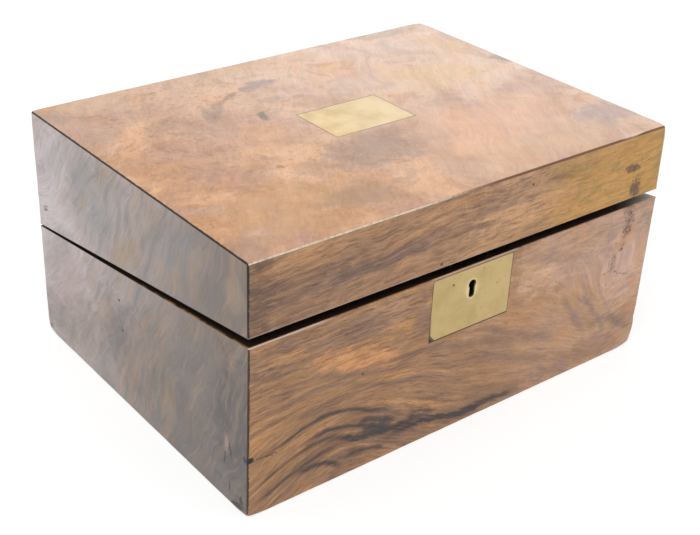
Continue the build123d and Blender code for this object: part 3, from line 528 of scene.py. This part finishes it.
def walnut_side(name, part, spots, seed, back, front, cool, warm, marks=()):
    """A side's veneer. Along it u runs from back to front."""
    n = Shader(name + "_" + part, part)
    u, v = n.times(n.y, -1), n.z
    wu, wv = warped(n, u, v, seed, (0.018, 14.0), (0.07, 1.4))
    n.colour = n.mix(n.spread(n.plus(wu, n.times(wv, -0.5)), -110, 60), back, front)
    patches(n, wu, wv, spots)
    back_way = n.plus(wu, HALF_D)
    bend = n.sum(wu, 0.75, n.times(back_way, back_way), 0.0049)
    along = n.sum(wu, 0.45, wv, 0.85)
    across = n.times(n.minus(wv, bend), 0.55)
    strong = n.times(n.spread(u, -110, -20, 0.3, 1.0), n.spread(u, 10, 60, 1.0, 0.75))
    swirl = n.fibres(along, across, 50, 20, seed, 2.0, 0.45, 0.2)
    n.figure(swirl, (0.48, 0.72, 0.6, cool), (0.5, 0.28, 0.6, warm), strong)
    streak = n.fibres(along, across, 30, 5, seed + 4, 3.0, 0.55, 0.2)
    n.figure(streak, (0.5, 0.66, 0.4, cool), (0.47, 0.32, 0.42, warm), strong)
    fine = grain(n, along, across, seed, 0.09, 0.05, 0.25)
    for at, radii, turn, share in marks:
        n.lay(n.spot(u, v, at, radii, turn, 0.6, n.ragged(fine, 3.0)), (44, 36, 34), share)
    edge = (30, 22, 18)
    if part == "case":
        # at the front the case's edge along the rim is tan: the veneer's edge, partly a painted highlight
        tan = n.times(n.spread(u, -10, 30), n.spread(n.cloud(u, v, 7.0, 0.12, 3.0), 0.4, 0.6, 0.2, 1.0))
        edge = n.mix(tan, edge, (170, 130, 92))
    n.lay(n.spread(rim_distance(n), 1.0, 0.7), edge)
    return polish(n, fine, 1.15, 0.98)


# Cracks and chips of the left side: at, radii, turn and share.
LEFT_MARKS = [
    ((-104, 91), (5, 2.2), 25, 0.8), ((-17, 70), (1.6, 1.1), 0, 0.9), ((-14, 51), (1.5, 1.4), 0, 0.8),
    ((97.5, 36), (0.9, 7), 15, 0.9), ((92.5, 28), (1.1, 5), -10, 0.8), ((97, 11), (0.9, 5), 0, 0.7),
    ((105, 3), (7, 2.4), 14, 1.0), ((108, 8), (2, 4), 0, 0.9), ((112, 37.5), (4, 2.4), -20, 1.0),
    ((-110, 5), (3, 2), 0, 0.6),
]


def walnut_back(part):
    n = Shader("walnut_back_" + part, part)
    wu, wv = warped(n, n.x, n.z, 21.0, (0.018, 10.0), (0.06, 1.4))
    n.colour = n.mix(n.cloud(wu, wv, 1.0, 0.02, 3.0), (152, 112, 84), (194, 150, 114))
    band = n.fibres(wu, wv, 90, 10, 2.0, 4.0, 0.6, 0.5)
    n.figure(band, (0.5, 0.66, 0.6, (100, 74, 60)), (0.47, 0.34, 0.4, (212, 164, 120)))
    streak = n.fibres(wu, wv, 30, 2.6, 6.0, 4.0, 0.65, 0.3)
    n.lay(n.spread(streak, 0.5, 0.66, 0, 0.5), (108, 82, 70))
    return polish(n, grain(n, wu, wv, 21.0, 0.10, 0.12, 0.35))


# ------------------------------------------------ other materials
def rim_distance(n):
    """How far a point is from the parting plane."""
    rim = n.math("MULTIPLY_ADD", n.y, -math.tan(SLOPE), HINGE_Z + HINGE_Y * math.tan(SLOPE))
    return n.abs(n.minus(n.z, rim))


def plain_wood(name, light, dark, along, rough, coat, rim=None):
    """Straight-grained wood; rim is the dark colour of a rim, a stain that is also painted shade of the gap.
    With it come painted light at the rim's right front end and painted near-black shade in the lock's bed.
    """
    n = Shader(name)
    a, b = (n.x, n.y) if along == "x" else (n.y, n.x)

    def drawn(length, width, *texture):
        at = n.vector(n.times(a, 1 / length), n.times(b, 1 / width), n.times(n.z, 1 / width))
        return n.noise(at, 1.0, *texture)

    fibre = drawn(9, 0.6, 3.0)
    n.colour = n.ramp(drawn(40, 3.5, 4.0, 0.6, 0.4), (0.3, dark), (0.7, light))
    n.lay(n.spread(fibre, 0.58, 0.75, 0, 0.45), darker(dark, 0.45))
    if rim is not None:
        # painted light: the rim is lighter at its right front end, where light comes in through the gap
        rim = n.mix(n.times(n.spread(n.x, 118, 150), n.spread(n.y, -90, -104)), rim, (178, 166, 156))
        n.lay(n.spread(rim_distance(n), 7.0, 5.0), rim)
        # painted shade: near black in the lock's bed round the keyhole
        n.lay(n.spot(n.x, n.z, (0, 93), (34, 34), 0, 0.2), (10, 8, 7), n.spread(n.y, -104.2, -104.4))
    return n.finish(n.plus(n.times(fibre, 0.12), rough - 0.06), n.bump(fibre, 0.3, 0.0001), Coat_Weight=coat)


def brass(name, colour, tarnish, rough=0.32, haze=0.35):
    """Old brass: its shader, roughness and normal."""
    n = Shader(name)
    cloud = n.noise(n.p, 0.06, 4.0, 0.6)
    n.colour = n.mix(n.spread(cloud, 0.4, 0.7, 0, haze), colour, tarnish)
    scratch = n.cloud(n.times(n.x, 1 / 14), n.times(n.plus(n.y, n.z), 2.2), 0.0, 1.0, 3.0, 0.6)
    n.lay(n.spread(scratch, 0.62, 0.75, 0, 0.25), darker(colour, 0.7))
    n.lay(n.spread(n.noise(n.p, 0.55, 2.0, 0.6), 0.68, 0.76, 0, 0.5), darker(tarnish, 0.5))
    return n, n.spread(cloud, 0.3, 0.7, rough - 0.06, rough + 0.1), n.bump(scratch, 0.15, 0.0001)


def small_brass(name, colour=(206, 176, 112), tarnish=(150, 118, 66)):
    n, *face = brass(name, colour, tarnish)
    return n.finish(*face, Metallic=1.0)


def lock_brass():
    """The lock's brass: dark as painted shade of the gap, and near black inside as painted shade in the
    keyhole.
    """
    n, *face = brass("brass_lock", (96, 78, 50), (54, 42, 28))
    # painted shade: near black away from the rim, inside the lock
    n.lay(n.spread(rim_distance(n), 2.3, 2.8), (12, 10, 8))
    return n.finish(*face, Metallic=0.8)


def name_plate_brass():
    n, *face = brass("brass_name_plate", (202, 179, 134), (190, 165, 112), 0.36, 0.3)
    n.lay(n.spread(n.x, -24, 34), (200, 181, 152), 0.35)
    return n.finish(*face, Metallic=1.0)


def pin_brass():
    """The two pins' heads: the left one dark, the right one rubbed almost flush."""
    n, *face = brass("brass_pins", (120, 96, 60), (84, 66, 44))
    n.lay(n.spread(n.x, -1, 1), (166, 142, 94))
    return n.finish(*face, Metallic=1.0)


def escutcheon_brass():
    """Brass rubbed bright round the keyhole, and dark at its lower left corner and left edge."""
    n, *face = brass("brass_escutcheon", (194, 171, 121), (172, 150, 98), 0.4, 0.4)
    away = n.add("ShaderNodeVectorMath", n.vector(n.x, n.z), (-1.3, 93.5, 0.0), operation="DISTANCE")
    n.lay(n.spread(away.outputs["Value"], 8, 4.2, 0, 0.3), (224, 204, 150))
    n.lay(n.spot(n.x, n.z, (-1.3, 92.6), (5.0, 7.8), 0, 0.3), (232, 214, 168), 0.5)
    left, foot = n.plus(n.x, -ESCUTCHEON[0]), n.plus(n.z, -ESCUTCHEON[2])
    corner = n.sum(left, 1 / 4.0, foot, 1 / 4.6)
    n.lay(n.spread(corner, 1.1, 0.85), (104, 88, 76))
    n.lay(n.spread(corner, 0.6, 0.3), (46, 34, 26))
    n.lay(n.times(n.spread(n.x, -30.0, -30.4), n.spread(n.z, 84, 72)), (74, 60, 48), 0.7)
    return n.finish(*face, Metallic=1.0)


def steel():
    n = Shader("steel")
    cloud = n.noise(n.p, 0.3, 3.0)
    n.colour = n.mix(n.spread(cloud, 0.4, 0.7), (150, 148, 142), (104, 92, 80))
    return n.finish(n.spread(cloud, 0.3, 0.7, 0.3, 0.5), Metallic=1.0)


BORDER = (8.0, 11.0)  # tooled lines, from the leather's edge


def leather(name, half_x, y_front, y_back):
    """Dark green leather with a broad gilt rule, a fine one inside it, and fine creases."""
    n = Shader(name)
    cells = n.add("ShaderNodeTexVoronoi", n.p, feature="DISTANCE_TO_EDGE")
    n.put(cells.inputs["Scale"], 1.4)
    crease = n.spread(cells.outputs["Distance"], 0.0, 0.12)
    cloud = n.noise(n.p, 0.03, 4.0, 0.6)
    n.colour = n.mix(n.spread(cloud, 0.35, 0.7), (38, 66, 48), (64, 92, 66))
    # darker along the creases
    n.lay(n.minus(1.0, crease), (24, 42, 32), 0.35)
    du = n.minus(half_x, n.abs(n.x))
    dv = n.minus((y_back - y_front) / 2, n.abs(n.plus(n.y, -(y_front + y_back) / 2)))
    edge = n.math("MINIMUM", du, dv)
    worn = n.spread(n.noise(n.p, 0.25, 3.0), 0.35, 0.55)
    for line, width in zip(BORDER, (0.9, 0.35)):
        near = n.spread(n.abs(n.minus(edge, line)), width, width * 0.6)
        n.lay(n.times(near, worn), (206, 168, 92), 0.9)
    return n.finish(n.spread(cloud, 0.3, 0.7, 0.42, 0.56), n.bump(crease, 0.35, 0.0001))


def glass():
    n = Shader("ink_glass")
    n.colour = (232, 246, 240)
    return n.finish(0.02, Transmission_Weight=1.0, IOR=1.5)


# ------------------------------------------------ worn sheets of veneer
def grid(low, high, step, extra=()):
    """Places from low to high about step apart, close together at both ends, with extra places added."""
    near, closest = [0.0, 0.15, 0.35, 0.6, 0.9, 1.3, 2.0, 3.2], 0.08
    middle = high - low - 2 * near[-1]
    count = max(2, round(middle / step))
    places = [low + d for d in near] + [high - d for d in near]
    places += [low + near[-1] + middle * k / count for k in range(count + 1)]
    kept = []
    for p in sorted(set(round(q, 4) for q in [*places, *extra])):
        if not kept or p - kept[-1] > closest or p in extra:
            if kept and p in extra and p - kept[-1] <= closest and kept[-1] not in extra:
                kept.pop()
            kept.append(p)
    return kept


# Worn places on the box: (x, y, z), reach and how much rounder the edge is there.
WORN = [
    ((152.5, -114, 0), 8.0, 3.6), ((-152.5, -114, 0), 6.0, 1.8), ((-152.5, 114, 0), 7.0, 2.6),
    ((152.5, 114, 0), 6.0, 2.0), ((152.5, -114, 151.5), 5.0, 1.4), ((-152.5, 114, 151.5), 4.0, 0.8),
    ((152.5, 114, 151.5), 6.0, 1.6),
    ((-152.5, -114, 151.5), 3.0, 0.6), ((-152.5, -114, 37), 1.5, 1.9), ((-152.5, -114, 12), 5.0, 0.6),
    ((152.5, -114, 22), 3.0, 1.2), ((-152.5, -114, 70), 5.0, 0.5), ((-152.5, 114, 14), 4.0, 1.0),
]


def roundness(p):
    """How round the box's edge is near a point."""
    r = 0.75 + 0.35 * noise.noise(Vector(p) * 0.09) + 0.15 * noise.noise(Vector(p) * 0.5)
    for at, reach, extra in WORN:
        d = (Vector(p) - Vector(at)).length / reach
        if d < 3:
            r += extra * math.exp(-d * d)
    return max(0.3, r)


def worn(p, part, inset=0.0):
    """Where a point of the nominal box lies once its edges are worn. part is 'lid' or 'case'."""
    x, y, z = p
    up = 1 if part == "lid" else -1
    rim = rim_z(y, up)
    walls = [
        (Vector((1, 0, 0)), HALF_W - inset - x), (Vector((-1, 0, 0)), HALF_W - inset + x),
        (Vector((0, 1, 0)), HALF_D - inset - y), (Vector((0, -1, 0)), HALF_D - inset + y),
        (Vector((0, 0, up)), HEIGHT - z if part == "lid" else z),
    ]
    to_rim = (z - rim) * up
    r = roundness(p)
    near_rim = min(1.0, max(0.0, to_rim / 3.0))
    r = 0.25 + (r - 0.25) * near_rim
    walls.append((Vector((0, -up * math.sin(SLOPE), -up * math.cos(SLOPE))), to_rim * math.cos(SLOPE)))
    a = [(w, r - d) for w, d in walls if d < r]
    if len(a) < 2:
        return Vector(p)
    size = math.sqrt(sum(d * d for _, d in a))
    q = Vector(p)
    if size > r:
        for w, d in a:
            q -= w * d * (1 - r / size)
    return q


def swung(p):
    """A point of the shut lid, where it stands ajar."""
    y, z = p[1] - HINGE_Y, p[2] - HINGE_Z
    c, s = math.cos(AJAR), math.sin(AJAR)
    return Vector((p[0], HINGE_Y + y * c + z * s, HINGE_Z - y * s + z * c))


def sheet(name, body, material, replaced, s, t, place, holes=(), smooth=35):
    """A closed sheet over a grid: place(s, t, w) gives a point in mm on its outer (w 0) or inner (w 1) face.
    holes are (s, s, t, t) spans that are left open."""
    def solid(i, j):
        if not (0 <= i < len(s) - 1 and 0 <= j < len(t) - 1):
            return False
        ms, mt = (s[i] + s[i + 1]) / 2, (t[j] + t[j + 1]) / 2
        return not any(a < ms < b and c < mt < d for a, b, c, d in holes)

    bm = bmesh.new()
    made = {}

    def vert(i, j, w):
        if (i, j, w) not in made:
            made[i, j, w] = bm.verts.new(place(s[i], t[j], w) * MM)
        return made[i, j, w]

    for i in range(len(s) - 1):
        for j in range(len(t) - 1):
            if not solid(i, j):
                continue
            a, b, c, d = (i, j), (i + 1, j), (i + 1, j + 1), (i, j + 1)
            bm.faces.new([vert(*p, 0) for p in (a, b, c, d)])
            bm.faces.new([vert(*p, 1) for p in (a, d, c, b)])
            for di, dj, p, q in ((-1, 0, a, d), (1, 0, b, c), (0, -1, a, b), (0, 1, d, c)):
                if not solid(i + di, j + dj):
                    bm.faces.new([vert(*p, 0), vert(*q, 0), vert(*q, 1), vert(*p, 1)])
    piece(name, body, material, replaced, bm, smooth)


def veneer(part, face, material, s, t, place, holes=()):
    """A worn sheet of veneer on one face of a half; place gives its points on the new, shut box."""
    def at(*where):
        p = worn(place(*where), part)
        return swung(p) if part == "lid" else p

    node = f"{part}_{face}_veneer"
    sheet(node + "_worn", part, material, [node], s, t, at, holes)


def piece(name, body, material, replaced, bm, smooth=35):
    """A mesh piece that rides on a body and stands for CAD nodes."""
    bmesh.ops.recalc_face_normals(bm, faces=bm.faces)
    mesh = bpy.data.meshes.new(name)
    bm.to_mesh(mesh)
    bm.free()
    mesh.polygons.foreach_set("use_smooth", [True] * len(mesh.polygons))
    mesh.set_sharp_from_angle(angle=math.radians(smooth))
    mesh.materials.append(material)
    obj = bpy.data.objects.new(name, mesh)
    scene.collection.objects.link(obj)
    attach(obj, body)
    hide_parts(*replaced)


STEP, COARSE_STEP, HIDE_STEP = 4.5, 12.0, 5.0  # of the grids over veneer, bottom board and leather
MID_HEIGHT = {"lid": 58.0, "case": 92.0}  # of a side, about half way back
IN_X, IN_Y, IN_Z = HALF_W - VENEER, HALF_D - VENEER, HEIGHT - VENEER
CHIPS = [37 + 0.6 * k for k in range(-4, 5)]


def build_veneers():
    # the left side's greys are partly painted reflection of the light; its browns are the veneer's own
    left = (200, 186, 182), (134, 119, 110), (122, 123, 125), (182, 158, 138)
    right = (182, 142, 112), (160, 120, 90), (114, 92, 82), (206, 158, 114)
    xs = grid(-HALF_W, HALF_W, STEP, PLATE[:2])
    ys = grid(-HALF_D, HALF_D, STEP, PLATE[2:])
    veneer("lid", "top", walnut_top(), xs, ys, lambda s, t, w: (s, t, HEIGHT - w * VENEER), [PLATE])
    notch_x = [x + d for x in HINGE_PLACES for d in (-BARREL_HALF, BARREL_HALF)]
    for part, up in (("lid", 1), ("case", -1)):
        for face, sign, material in (("front", -1, walnut_front(part)), ("back", 1, walnut_back(part))):
            rim = rim_z(sign * HALF_D, up)
            low, high = (rim, IN_Z) if part == "lid" else (0.0, rim)
            holes, sx, sz = [], [], CHIPS if part == "case" and face == "front" else []
            if face == "back":
                edge = HINGE_Z + up * BARREL_ROOM
                sx, sz = notch_x, [edge]
                span = sorted((edge, HINGE_Z))
                holes = [(x - BARREL_HALF, x + BARREL_HALF, *span) for x in HINGE_PLACES]
            elif part == "case":
                sx, sz = list(ESCUTCHEON[:2]), sz + list(ESCUTCHEON[2:])
                holes = [ESCUTCHEON]

            def place(s, t, w):
                y = sign * (HALF_D - w * VENEER)
                moved = rim_z(y, up) - rim
                share = (high - t) / (high - low) if part == "lid" else (t - low) / (high - low)
                return (s, y, t + moved * share)

            xs, zs = grid(-HALF_W, HALF_W, STEP, sx), grid(low, high, STEP, sz)
            veneer(part, face, material, xs, zs, place, holes)
        for face, sign, material in (
                ("left", -1, walnut_side("walnut_left", part, LEFT_PATCHES_AND_REFLECTION, 11.0, *left, LEFT_MARKS)),
                ("right", 1, walnut_side("walnut_right", part, RIGHT_PATCHES, 31.0, *right))):
            def place(s, t, w):
                rim = rim_z(s, up)
                z = IN_Z + (rim - IN_Z) * (1 - t) if part == "lid" else rim * t
                return (sign * (HALF_W - w * VENEER), s, z)

            ts = [z / MID_HEIGHT[part] for z in grid(0.0, MID_HEIGHT[part], STEP)]
            veneer(part, face, material, grid(-IN_Y, IN_Y, STEP), ts, place)


def build_bottom(material):
    """The bottom board, with the worn corners that its veneers have."""
    bm = bmesh.new()
    xs, ys = grid(-IN_X, IN_X, COARSE_STEP), grid(-IN_Y, IN_Y, COARSE_STEP)
    zs = [0.0, 0.3, 0.7, 1.2, 2.0, 3.2, 5.0, PANEL]
    made = {}

    def vert(x, y, z):
        if (x, y, z) not in made:
            made[x, y, z] = bm.verts.new(worn((x, y, z), "case", VENEER) * MM)
        return made[x, y, z]

    for a, b in zip(xs, xs[1:]):
        for c, d in zip(ys, ys[1:]):
            bm.faces.new([vert(a, c, 0.0), vert(a, d, 0.0), vert(b, d, 0.0), vert(b, c, 0.0)])
            bm.faces.new([vert(a, c, PANEL), vert(b, c, PANEL), vert(b, d, PANEL), vert(a, d, PANEL)])
        for e, f in zip(zs, zs[1:]):
            for y in (-IN_Y, IN_Y):
                bm.faces.new([vert(a, y, e), vert(b, y, e), vert(b, y, f), vert(a, y, f)])
    for c, d in zip(ys, ys[1:]):
        for e, f in zip(zs, zs[1:]):
            for x in (-IN_X, IN_X):
                bm.faces.new([vert(x, c, e), vert(x, d, e), vert(x, d, f), vert(x, c, f)])
    piece("case_bottom_board_worn", "case", material, ["case_bottom_board"], bm)


# ------------------------------------------------ leather and screws
def shut_out(body):
    """The direction a half's rim faces, as it stands at rest."""
    tilt = SLOPE if body.startswith("case") else SLOPE + AJAR
    out = Vector((0, math.sin(tilt), math.cos(tilt)))
    return out if body.startswith("case") else -out


def corners(node):
    """All the points of a CAD node, in mm."""
    obj = nodes[node]
    return [(obj.matrix_world @ v.co) / MM for v in obj.data.vertices]


ROLL, ROLL_DEEP, SAG = 1.2, 0.3, 0.12  # reach and depth of the leather's rolled edge, depth of its uneven face
SUNK, SHY = 0.03, 0.02  # how far a screw stays inside the plain one, at its ends and round it


def build_leather(name, node, body):
    """Soft old leather in its field: rolled edges and a face that is no longer quite flat."""
    out, points = shut_out(body), corners(node)
    along = out.cross(Vector((1, 0, 0)))
    axes = (Vector((1, 0, 0)), along, out)
    low, high = ([f(p.dot(axis) for p in points) for axis in axes] for f in (min, max))
    thick = high[2] - low[2]

    def place(x, y, w):
        edge = min(x - low[0], high[0] - x, y - low[1], high[1] - y)
        sag = 0.0
        if w == 0:
            rolled = max(0.0, ROLL - edge) / ROLL
            uneven = 0.5 + 0.5 * noise.noise(Vector((x, y, 3.0)) * 0.05)
            groove = sum(math.exp(-((edge - at) / 0.5) ** 2) for at in BORDER)
            sag = ROLL_DEEP * rolled ** 2 + SAG * uneven + SAG * min(1.0, groove)
        return Vector((x, 0, 0)) + along * y + out * (low[2] + thick * (1 - w) - sag)

    xs, ys = (grid(low[k], high[k], HIDE_STEP) for k in (0, 1))
    ends = [f(p.y for p in points) for f in (min, max)]
    material = leather(name + "_hide", high[0], *ends)
    sheet(name, body, material, [node], xs, ys, place, (), 60)


def build_screws(name, node, body, material, turn):
    """Slotted countersunk screws where a CAD node has plain ones."""
    out, bm = shut_out(body), bmesh.new()
    groups = []
    for p in sorted(corners(node), key=lambda p: p.x):
        if not groups or p.x - groups[-1][-1].x > 2.0:
            groups.append([])
        groups[-1].append(p)
    for number, points in enumerate(groups):
        top = max(p.dot(out) for p in points)
        length = top - min(p.dot(out) for p in points)
        ring = [p for p in points if top - p.dot(out) < 0.02]
        centre = sum(ring, Vector()) / len(ring)
        head = max((p - centre).length for p in ring)
        shank = min((p - centre - out * (p - centre).dot(out)).length for p in points if top - p.dot(out) > 1.0)
        one_screw(bm, centre - out * SUNK, out, head - SHY, max(shank - SHY, 0.4), length - 2 * SUNK,
                  turn + 47 * number)
    piece(name, body, material, [node], bm, 25)


def one_screw(bm, centre, out, head, shank, length, turn):
    """Adds one screw: centre of its head, its direction out, and how far its slot is turned."""
    a = Matrix.Rotation(math.radians(turn), 3, out) @ Vector((1, 0, 0))
    b = out.cross(a)
    taper, slot_half, slot_deep = 0.9, head * 0.13, 0.35

    def at(angle, radius, depth):
        return bm.verts.new((centre + (a * math.cos(angle) + b * math.sin(angle)) * radius - out * depth) * MM)

    half = math.asin(slot_half / head)
    sweep = [half + (math.pi - 2 * half) * k / 10 for k in range(11)]
    at_slot = head + (shank - head) * slot_deep / taper
    floor_line = []
    rims = []
    for side in (0.0, math.pi):
        upper = [at(side + w, head, 0.0) for w in sweep]
        lower = [at(side + w, shank, taper) for w in sweep]
        tip = [at(side + w, shank, length) for w in sweep]
        ends = [at(side + sweep[0], at_slot, slot_deep), at(side + sweep[-1], at_slot, slot_deep)]
        bm.faces.new(upper)
        bm.faces.new([upper[0], upper[-1], ends[1], ends[0]])
        for k in range(10):
            loop = [upper[k], upper[k + 1], lower[k + 1], lower[k]]
            if k == 9:
                loop = [upper[k], upper[k + 1], ends[1], lower[k + 1], lower[k]]
            elif k == 0:
                loop = [upper[k], upper[k + 1], lower[k + 1], lower[k], ends[0]]
            bm.faces.new(loop)
            bm.faces.new([lower[k], lower[k + 1], tip[k + 1], tip[k]])
        floor_line += ends
        rims.append((lower, tip, ends))
    bm.faces.new(floor_line)
    (low_a, tip_a, end_a), (low_b, tip_b, end_b) = rims
    for p, q in (((low_a[-1], tip_a[-1], end_a[1]), (low_b[0], tip_b[0], end_b[0])),
                 ((low_b[-1], tip_b[-1], end_b[1]), (low_a[0], tip_a[0], end_a[0]))):
        bm.faces.new([p[2], q[2], q[0], p[0]])
        bm.faces.new([p[0], q[0], q[1], p[1]])
    bm.faces.new(tip_a + tip_b)


# ------------------------------------------------ dress everything
def paint(names, material):
    for name in names:
        mesh = nodes[name].data
        mesh.materials.clear()
        mesh.materials.append(material)


build_veneers()
# the rims' dark colour is a stain and also painted shade of the gap
RIM_STAIN_AND_SHADE, PINE = (42, 28, 20), ((150, 100, 66), (112, 70, 44))
carcass = plain_wood("carcass_wood", *PINE, "x", 0.6, 0.0, RIM_STAIN_AND_SHADE)
carcass_side = plain_wood("carcass_side", *PINE, "y", 0.6, 0.0, RIM_STAIN_AND_SHADE)
mahogany = plain_wood("mahogany", (150, 78, 48), (104, 48, 30), "x", 0.34, 0.2)
build_bottom(carcass)
brass_small = small_brass("brass")
slot_material = {
    "carcass_wood": carcass, "mahogany": mahogany, "brass": brass_small, "steel": steel(), "ink_glass": glass(),
}
for part in frame["record"]["subparts"]:
    if part["material_slot"] in slot_material:
        paint([part["node"]], slot_material[part["material_slot"]])
paint(["case_left_board", "case_right_board", "lid_left_board", "lid_right_board"], carcass_side)
paint(["name_plate"], name_plate_brass())
paint(["escutcheon_plate"], escutcheon_brass())
paint(["escutcheon_pins"], pin_brass())
paint(["lock_case", "lock_cap", "lock_bolt", "lock_spring"], lock_brass())
# the link plate's brass is painted dark, as shade of the gap it sits in
paint(["link_plate"], small_brass("brass_link", (84, 68, 44), (46, 36, 24)))
build_leather("case_flap_leather_worn", "case_flap_leather", "case_flap")
build_leather("lid_flap_leather_worn", "lid_flap_leather", "lid_flap")
for number, (node, body) in enumerate((
        ("lock_screws", "case"), ("link_plate_screws", "lid"),
        ("main_hinge_case_screws", "case"), ("main_hinge_lid_screws", "lid"))):
    build_screws(node + "_slotted", node, body, brass_small, 20 + 31 * number)

# ------------------------------------------------ floor, light and camera
def straight(tree):
    """1 for a ray from the camera, a reflection or glass, else 0."""
    path = tree.nodes.new("ShaderNodeLightPath")
    seen = path.outputs["Is Camera Ray"]
    for kind in ("Is Glossy Ray", "Is Transmission Ray"):
        either = tree.nodes.new("ShaderNodeMath")
        either.operation = "MAXIMUM"
        tree.links.new(seen, either.inputs[0])
        tree.links.new(path.outputs[kind], either.inputs[1])
        seen = either.outputs[0]
    return seen


def stage_material(name, grey, glow, keep):
    """Seen straight it glows plain white and keeps a share of the shadow; else it is matt."""
    mat = bpy.data.materials.new(name)
    mat.use_nodes = True
    tree = mat.node_tree
    tree.nodes.clear()
    out, matt, thin, lamp, both, mix = (tree.nodes.new("ShaderNode" + kind) for kind in (
        "OutputMaterial", "BsdfDiffuse", "BsdfDiffuse", "Emission", "AddShader", "MixShader"))
    matt.inputs[0].default_value = (grey, grey, grey, 1)
    thin.inputs[0].default_value = (keep, keep, keep, 1)
    lamp.inputs[1].default_value = glow
    tree.links.new(straight(tree), mix.inputs[0])
    for source, target, k in ((lamp, both, 0), (thin, both, 1), (matt, mix, 1), (both, mix, 2), (mix, out, 0)):
        tree.links.new(source.outputs[0], target.inputs[k])
    return mat


bm = bmesh.new()
bmesh.ops.create_circle(bm, cap_ends=True, radius=4.0, segments=96)
floor_mesh = bpy.data.meshes.new("floor")
bm.to_mesh(floor_mesh)
bm.free()
floor = bpy.data.objects.new("floor", floor_mesh)
floor.location.z = -0.0001
floor_mesh.materials.append(stage_material("floor_white", 0.8, 0.70, 0.46))
scene.collection.objects.link(floor)

world = bpy.data.worlds.new("studio")
scene.world = world
world.use_nodes = True
tree = world.node_tree
background, strength = tree.nodes["Background"], tree.nodes.new("ShaderNodeMath")
strength.operation = "MULTIPLY_ADD"
SKY, SEEN_SKY = 0.66, 1.0
tree.links.new(straight(tree), strength.inputs[0])
strength.inputs[1].default_value = SEEN_SKY - SKY
strength.inputs[2].default_value = SKY
tree.links.new(strength.outputs[0], background.inputs["Strength"])
background.inputs["Color"].default_value = (1, 1, 1, 1)


def lamp(name, at, size, watts):
    """A round white lamp that shines on the middle of the box."""
    data = bpy.data.lights.new(name, "AREA")
    data.shape, data.size, data.energy = "DISK", size, watts
    obj = bpy.data.objects.new(name, data)
    obj.location = at
    obj.rotation_euler = (Vector((0, 0, 0.08)) - Vector(at)).to_track_quat("-Z", "Y").to_euler()
    scene.collection.objects.link(obj)


lamp("key", (-0.7, -0.5, 1.5), 0.9, 5.0)
lamp("back_glow", (1.0, 1.2, 0.95), 1.0, 1.6)

CAMERA_AIM = Vector((3.66, 0.0, 49.97)) * MM
AZIMUTH, ELEVATION, ROLL = math.radians(-39.668), math.radians(29.806), math.radians(3.042)
DISTANCE, LENS = 0.83006, 66.921
level = math.cos(ELEVATION)
back = Vector((math.sin(AZIMUTH) * level, -math.cos(AZIMUTH) * level, math.sin(ELEVATION)))
right = (-back).cross(Vector((0, 0, 1))).normalized()
up = right.cross(-back)
right, up = right * math.cos(ROLL) + up * math.sin(ROLL), up * math.cos(ROLL) - right * math.sin(ROLL)
camera = bpy.data.objects.new("camera", bpy.data.cameras.new("camera"))
camera.data.sensor_width, camera.data.lens = 36.0, LENS
camera.data.clip_start = 0.02
turned = Matrix((right, up, back)).transposed().to_4x4()
camera.matrix_world = Matrix.Translation(CAMERA_AIM + back * DISTANCE) @ turned
scene.collection.objects.link(camera)
scene.camera = camera
scene.view_settings.view_transform = "Standard"
